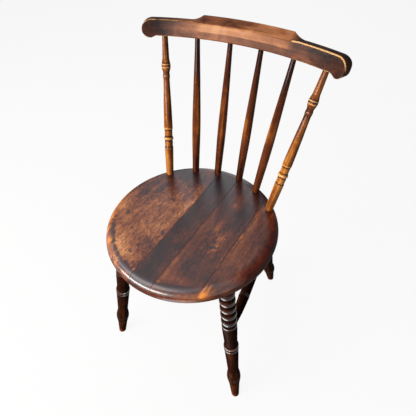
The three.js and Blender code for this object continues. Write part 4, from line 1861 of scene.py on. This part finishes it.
@dataclass(frozen=True)
class TurnedFinish:
    """Stained and varnished turned pieces: dark in the grooves, rubbed on the beads.

    Attributes:
        name: Name of the material.
        stops: Colours from the darkest to the lightest.
        tone: Middle of the stain, 0 to 1, at the foot, a quarter, the half, three quarters and the top.
        contrast: Strength of the streaks along the piece.
        cloud: Strength of the patches.
        groove: Colour in the grooves.
        rubbed: Colour where the stain is rubbed through.
        rub: How much is rubbed.
        varnish: How it shines.
        shine: Weight of the varnish where beads and bobbins are polished by hands and feet.
    """

    name: str
    stops: tuple[Colour, ...]
    tone: tuple[float, ...]
    contrast: float
    cloud: float
    groove: Colour
    rubbed: Colour
    rub: float
    varnish: Varnish = Varnish()
    shine: float = 0.4

    def build(self) -> Material:
        """Stain by height, streaks along the fibres, dark grooves and rubbed beads.

        Returns:
            The material.
        """
        bench = Bench(bpy.data.materials.new(self.name))
        grain = bench.read("grain", "Vector")
        fibre = bench.noise(grain, (520, 520, 14), 4.0, 0.6)
        streak = bench.noise(grain, (150, 150, 7), 3.0, 0.55)
        cloud = bench.noise(grain, (34, 34, 22), 4.0, 0.6, 0.5)
        rag = bench.noise(grain, (210, 210, 60), 4.0, 0.65, 0.6)
        tones = [(number / 4, (tone, tone, tone)) for number, tone in enumerate(self.tone)]
        level = bench.ramp(bench.read("along"), tones)
        for texture, weight in ((streak, self.contrast), (fibre, self.contrast / 2), (cloud, self.cloud)):
            level = bench.sway(level, texture, weight)
        colour = bench.ramp(level, list(zip((0.1, 0.5, 0.9), self.stops)))
        proud = bench.read("proud")
        colour = bench.blend(bench.span(proud, -0.12, -0.75, 0.0, 0.9), colour, self.groove)
        rub = bench.sway(bench.maths("MULTIPLY", proud, self.rub), rag, 1.0)
        rub = bench.plus(rub, bench.read("pale"), 0.42)
        colour = bench.blend(bench.span(rub, 0.12, 0.5, 0.0, 0.85), colour, self.rubbed)
        colour = bench.blend(bench.maths("MULTIPLY", bench.read("ring"), 0.94), colour, self.groove)
        coat = bench.span(proud, 0.02, 0.4, self.varnish.coat, self.shine)
        return self.varnish.apply(bench, grain, colour, fibre, coat=coat)


@dataclass(frozen=True)
class CrestFinish:
    """The crest rail: mottled red brown, nearly black ends, painted shade round a lighter middle, a painted
    highlight along the fold and pale rubbed arrises.

    Attributes:
        name: Name of the material.
        varnish: How it shines.
    """

    name: str = "crest_varnish"
    varnish: Varnish = Varnish(rough=0.34, gloss=0.0, coat=0.09, coat_rough=0.2)

    def build(self) -> Material:
        """Stain darkened by dark stain with painted shade and on the slope, lightened by a painted
        highlight along the fold, and rubbed at the corners.

        Returns:
            The material.
        """
        bench = Bench(bpy.data.materials.new(self.name))
        grain = bench.read("grain", "Vector")
        fibre = bench.noise(grain, (420, 420, 14), 4.0, 0.6)
        streak = bench.noise(grain, (110, 110, 8), 3.0, 0.55)
        cloud = bench.noise(grain, (30, 30, 20), 5.0, 0.62, 0.8)
        rag = bench.noise(grain, (120, 120, 30), 4.0, 0.6, 0.5)
        level = 0.53
        # Dark stain with painted shade and the slope darken it; the fold's painted highlight lightens it.
        for mark, weight in (("dusk", -0.38), ("slope", -0.2), ("fold", 0.3)):
            level = bench.plus(level, bench.read(mark), weight)
        for texture, weight in ((streak, 0.4), (fibre, 0.2), (cloud, 0.9)):
            level = bench.sway(level, texture, weight)
        colour = bench.ramp(level, [
            (0.02, (0.016, 0.008, 0.008)),
            (0.26, (0.07, 0.024, 0.014)),
            (0.5, (0.19, 0.066, 0.028)),
            (0.74, (0.38, 0.155, 0.065)),
            (0.96, (0.55, 0.27, 0.13)),
        ])
        rub = bench.sway(bench.read("bare"), rag, 1.0)
        colour = bench.blend(bench.span(rub, 0.3, 0.6, 0.0, 0.9), colour, (0.72, 0.42, 0.17))
        return self.varnish.apply(bench, grain, colour, fibre)


@dataclass(frozen=True)
class BareDowel:
    """Plain unfinished dowels inside the seat.

    Attributes:
        name: Name of the material.
        pale: The lighter colour of the wood.
        dark: Its darker colour.
    """

    name: str = "dowel_bare"
    pale: Colour = (0.62, 0.46, 0.28)
    dark: Colour = (0.5, 0.35, 0.2)

    def build(self) -> Material:
        """Pale wood with soft streaks along X, as the dowels lie.

        Returns:
            The material.
        """
        bench = Bench(bpy.data.materials.new(self.name))
        place = bench.node("ShaderNodeTexCoord").outputs["Object"]
        streak = bench.noise(place, (20, 500, 500), 3.0)
        colour = bench.ramp(streak, [(0.3, self.dark), (0.7, self.pale)])
        return Varnish(rough=0.7, coat=0.0).apply(bench, place, colour, streak)


@dataclass(frozen=True)
class Lamp:
    """A soft wide lamp.

    Attributes:
        name: Its name.
        place: Where it stands, in metres.
        target: The point that it faces, in metres.
        size: Its width and height, in metres.
        power: Its power in watts.
        colour: Its colour.
        mirrored: Whether only varnish shows it, as a reflection.
    """

    name: str
    place: Place
    target: Place
    size: Pair
    power: float
    colour: Colour
    mirrored: bool = False

    def build(self) -> None:
        """Adds the lamp."""
        data = bpy.data.lights.new(self.name, "AREA")
        data.shape = "RECTANGLE"
        data.size, data.size_y = self.size
        data.energy, data.color = self.power, self.colour
        lamp = added(self.name, data)
        lamp.location = self.place
        towards = Vector(self.target) - Vector(self.place)
        lamp.rotation_mode = "QUATERNION"
        lamp.rotation_quaternion = towards.to_track_quat("-Z", "Y")
        lamp.visible_diffuse = lamp.visible_camera = not self.mirrored


@dataclass
class Studio:
    """The camera, the lamps, the pale floor and the white surroundings.

    Attributes:
        position: The camera's place around the seat's centre line, in millimetres.
        azimuth: Degrees round from the front, to the right.
        elevation: Degrees above the horizon.
        roll: Degrees that the camera is rolled.
        focal: Focal length in pixels of the photograph's frame.
        frame_width: Width of that frame in pixels.
        clip: Nearest and farthest thing that the camera sees, in metres.
        floor_half: Half the width of the floor, in metres.
        floor_colour: The floor as it lights the chair from below.
        seen_floor_colour: The floor as the camera sees it.
        floor_glow: Share of plain white in what the camera sees of it.
        air_colour: Colour of the light from all round.
        seen_air_colour: The background as the camera sees it.
        air_low: Strength of the light from all round at the horizon.
        air_high: Its strength overhead.
        air_top: Height from which it is at full strength, 1 being straight up.
        lamps: The lamps.
    """

    position: Place = (291.796, -456.178, 1018.926)
    azimuth: float = 29.13803
    elevation: float = 44.66817
    roll: float = -0.40336
    focal: float = 363.6087
    frame_width: float = 416.0
    clip: Pair = (0.05, 60.0)
    floor_half: float = 14.0
    floor_colour: Colour = (0.05, 0.05, 0.05)
    seen_floor_colour: Colour = (0.72, 0.72, 0.72)
    floor_glow: float = 0.9
    air_colour: Colour = (0.94, 0.97, 1.0)
    seen_air_colour: Colour = (0.8, 0.8, 0.8)
    air_low: float = 0.04
    air_high: float = 0.15
    air_top: float = 0.9
    lamps: tuple[Lamp, ...] = (
        Lamp("key", (-0.9, -0.6, 2.4), (0.0, 0.0, 0.5), (1.6, 1.6), 26.0, (1.0, 0.98, 0.96)),
        Lamp("window", (-0.95, -2.15, 1.05), (0.0, 0.0, 0.6), (2.4, 0.55), 98.0, (1.0, 0.96, 0.93)),
        Lamp("sky", (-1.45, 3.08, 2.86), (0.0, 0.1, 0.45), (1.9, 1.7), 16.5, (0.9, 0.93, 1.0)),
        Lamp("ceiling", (-0.9, 1.08, 3.1), (0.0, 0.0, 0.45), (2.0, 2.0), 6.0, (0.96, 0.95, 1.0)),
        Lamp("card", (0.09, -0.32, 0.004), (0.1, -0.28, 0.5), (0.27, 0.24), 2.8, (0.9, 0.95, 1.0), True),
    )

    def camera(self, origin: Grid) -> None:
        """Sets the camera at the photograph's place and angle.

        Args:
            origin: The seat's centre line on the floor, in metres.
        """
        az, el, roll = (math.radians(v) for v in (self.azimuth, self.elevation, self.roll))
        back = np.array([math.sin(az) * math.cos(el), -math.cos(az) * math.cos(el), math.sin(el)])
        flat = np.array([math.cos(az), math.sin(az), 0.0])
        tall = np.cross(back, flat)
        right = math.cos(roll) * flat + math.sin(roll) * tall
        up = math.cos(roll) * tall - math.sin(roll) * flat
        data = bpy.data.cameras.new("camera")
        data.lens = self.focal / self.frame_width * data.sensor_width
        data.clip_start, data.clip_end = self.clip
        camera = added("camera", data)
        matrix = np.eye(4)
        matrix[:3, 0], matrix[:3, 1], matrix[:3, 2] = right, up, back
        matrix[:3, 3] = np.array(self.position) * MM + origin
        camera.matrix_world = Matrix(matrix.tolist())
        bpy.context.scene.camera = camera

    def white_rays(self, bench: Bench) -> Socket:
        """1 for rays from the camera and from mirror-like and clear surfaces, else 0.

        Args:
            bench: Where the nodes are laid out.

        Returns:
            The number.
        """
        path = bench.node("ShaderNodeLightPath")
        total = path.outputs["Is Camera Ray"]
        for name in ("Is Glossy Ray", "Is Transmission Ray"):
            total = bench.maths("MAXIMUM", total, path.outputs[name])
        return total

    def floor(self) -> None:
        """A wide pale floor that looks near white and keeps the chair's soft shadow."""
        half = self.floor_half
        corners = [(-half, -half, 0), (half, -half, 0), (half, half, 0), (-half, half, 0)]
        mesh = bpy.data.meshes.new("floor")
        mesh.from_pydata(corners, [], [(0, 1, 2, 3)])
        bench = Bench(bpy.data.materials.new("floor_pale"))
        seen = self.white_rays(bench)
        colour = bench.blend(seen, self.floor_colour, self.seen_floor_colour)
        matt = bench.made("ShaderNodeBsdfDiffuse", colour)
        glow = bench.made("ShaderNodeEmission", (1.0, 1.0, 1.0))
        share = bench.maths("MULTIPLY", seen, self.floor_glow)
        mesh.materials.append(bench.close(bench.made("ShaderNodeMixShader", share, matt, glow)))
        added("floor", mesh)

    def surroundings(self) -> None:
        """Soft light from all round, brighter overhead than at the horizon, that looks near white."""
        bench = Bench(bpy.data.worlds.new("surroundings"))
        place = bench.node("ShaderNodeTexCoord").outputs["Generated"]
        up = bench.made("ShaderNodeSeparateXYZ", place, output=2)
        strength = bench.span(up, 0.0, self.air_top, self.air_low, self.air_high, "LINEAR")
        soft = bench.made("ShaderNodeBackground", self.air_colour, strength)
        white = bench.made("ShaderNodeBackground", self.seen_air_colour, 1.0)
        mix = bench.made("ShaderNodeMixShader", self.white_rays(bench), soft, white)
        bpy.context.scene.world = bench.close(mix, "World")

    def build(self, origin: Grid) -> None:
        """Makes the whole studio.

        Args:
            origin: The seat's centre line on the floor, in metres.
        """
        bpy.context.scene.view_settings.view_transform = "Standard"
        self.camera(origin)
        for lamp in self.lamps:
            lamp.build()
        self.floor()
        self.surroundings()


def finishes() -> dict[Slot, Material]:
    """Every finish by the record's slot.

    Returns:
        The materials.
    """
    seat_left = SeatFinish("seat_left_varnish", mottle=1.3, crackle=1.5, veins=0.24, warm=0.02)
    seat = SeatFinish("seat_varnish", mottle=0.7, crackle=0.8, veins=0.1, warm=0.0)
    leg = TurnedFinish(
        "leg_varnish", stops=((0.007, 0.002, 0.001), (0.032, 0.009, 0.004), (0.15, 0.036, 0.009)),
        tone=(0.6, 0.5, 0.45, 0.4, 0.45), contrast=0.8, cloud=0.8,
        groove=(0.012, 0.003, 0.002), rubbed=(0.3, 0.08, 0.02), rub=0.4,
        varnish=Varnish(rough=0.3, gloss=0.0, coat=0.015, coat_rough=0.2), shine=0.8,
    )
    spindle = TurnedFinish(
        "spindle_varnish", stops=((0.022, 0.005, 0.003), (0.12, 0.028, 0.006), (0.45, 0.14, 0.02)),
        tone=(0.22, 0.46, 0.5, 0.32, 0.2), contrast=1.1, cloud=0.8,
        groove=(0.03, 0.01, 0.006), rubbed=(0.5, 0.19, 0.04), rub=0.3,
        varnish=Varnish(rough=0.34, gloss=0.0, coat=0.16, coat_rough=0.12),
    )
    post = TurnedFinish(
        "post_varnish", stops=((0.045, 0.012, 0.005), (0.22, 0.062, 0.011), (0.62, 0.24, 0.04)),
        tone=(0.5, 0.66, 0.45, 0.4, 0.42), contrast=1.2, cloud=1.1,
        groove=(0.012, 0.007, 0.007), rubbed=(0.8, 0.4, 0.12), rub=0.5,
        varnish=Varnish(rough=0.34, gloss=0.0, coat=0.18, coat_rough=0.12), shine=0.6,
    )
    by_slot = {
        Slot.SEAT_LEFT: seat_left, Slot.SEAT: seat, Slot.CREST: CrestFinish(), Slot.SPINDLE: spindle,
        Slot.POST: post, Slot.LEG: leg, Slot.DOWEL: BareDowel(),
    }
    return {slot: finish.build() for slot, finish in by_slot.items()}


def main() -> None:
    """Builds the chair and its studio in order, and keeps the two boxes."""
    logging.basicConfig(level=logging.INFO, format="%(name)s: %(message)s")
    materials = finishes()
    shop = Workshop(materials)
    Studio().build(shop.origin)
    seat = Seat()
    crest = CrestRail(seat)
    seat.build(shop)
    Undercarriage(seat).build(shop)
    Back(seat, crest).build(shop)
    crest.build(shop)
    for name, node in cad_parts.items():
        if name.startswith("seat_dowel"):
            node.data.materials.clear()
            node.data.materials.append(materials[Slot.DOWEL])
            log.info("%s keeps its packed solid", name)


if __name__ == "__main__":
    main()
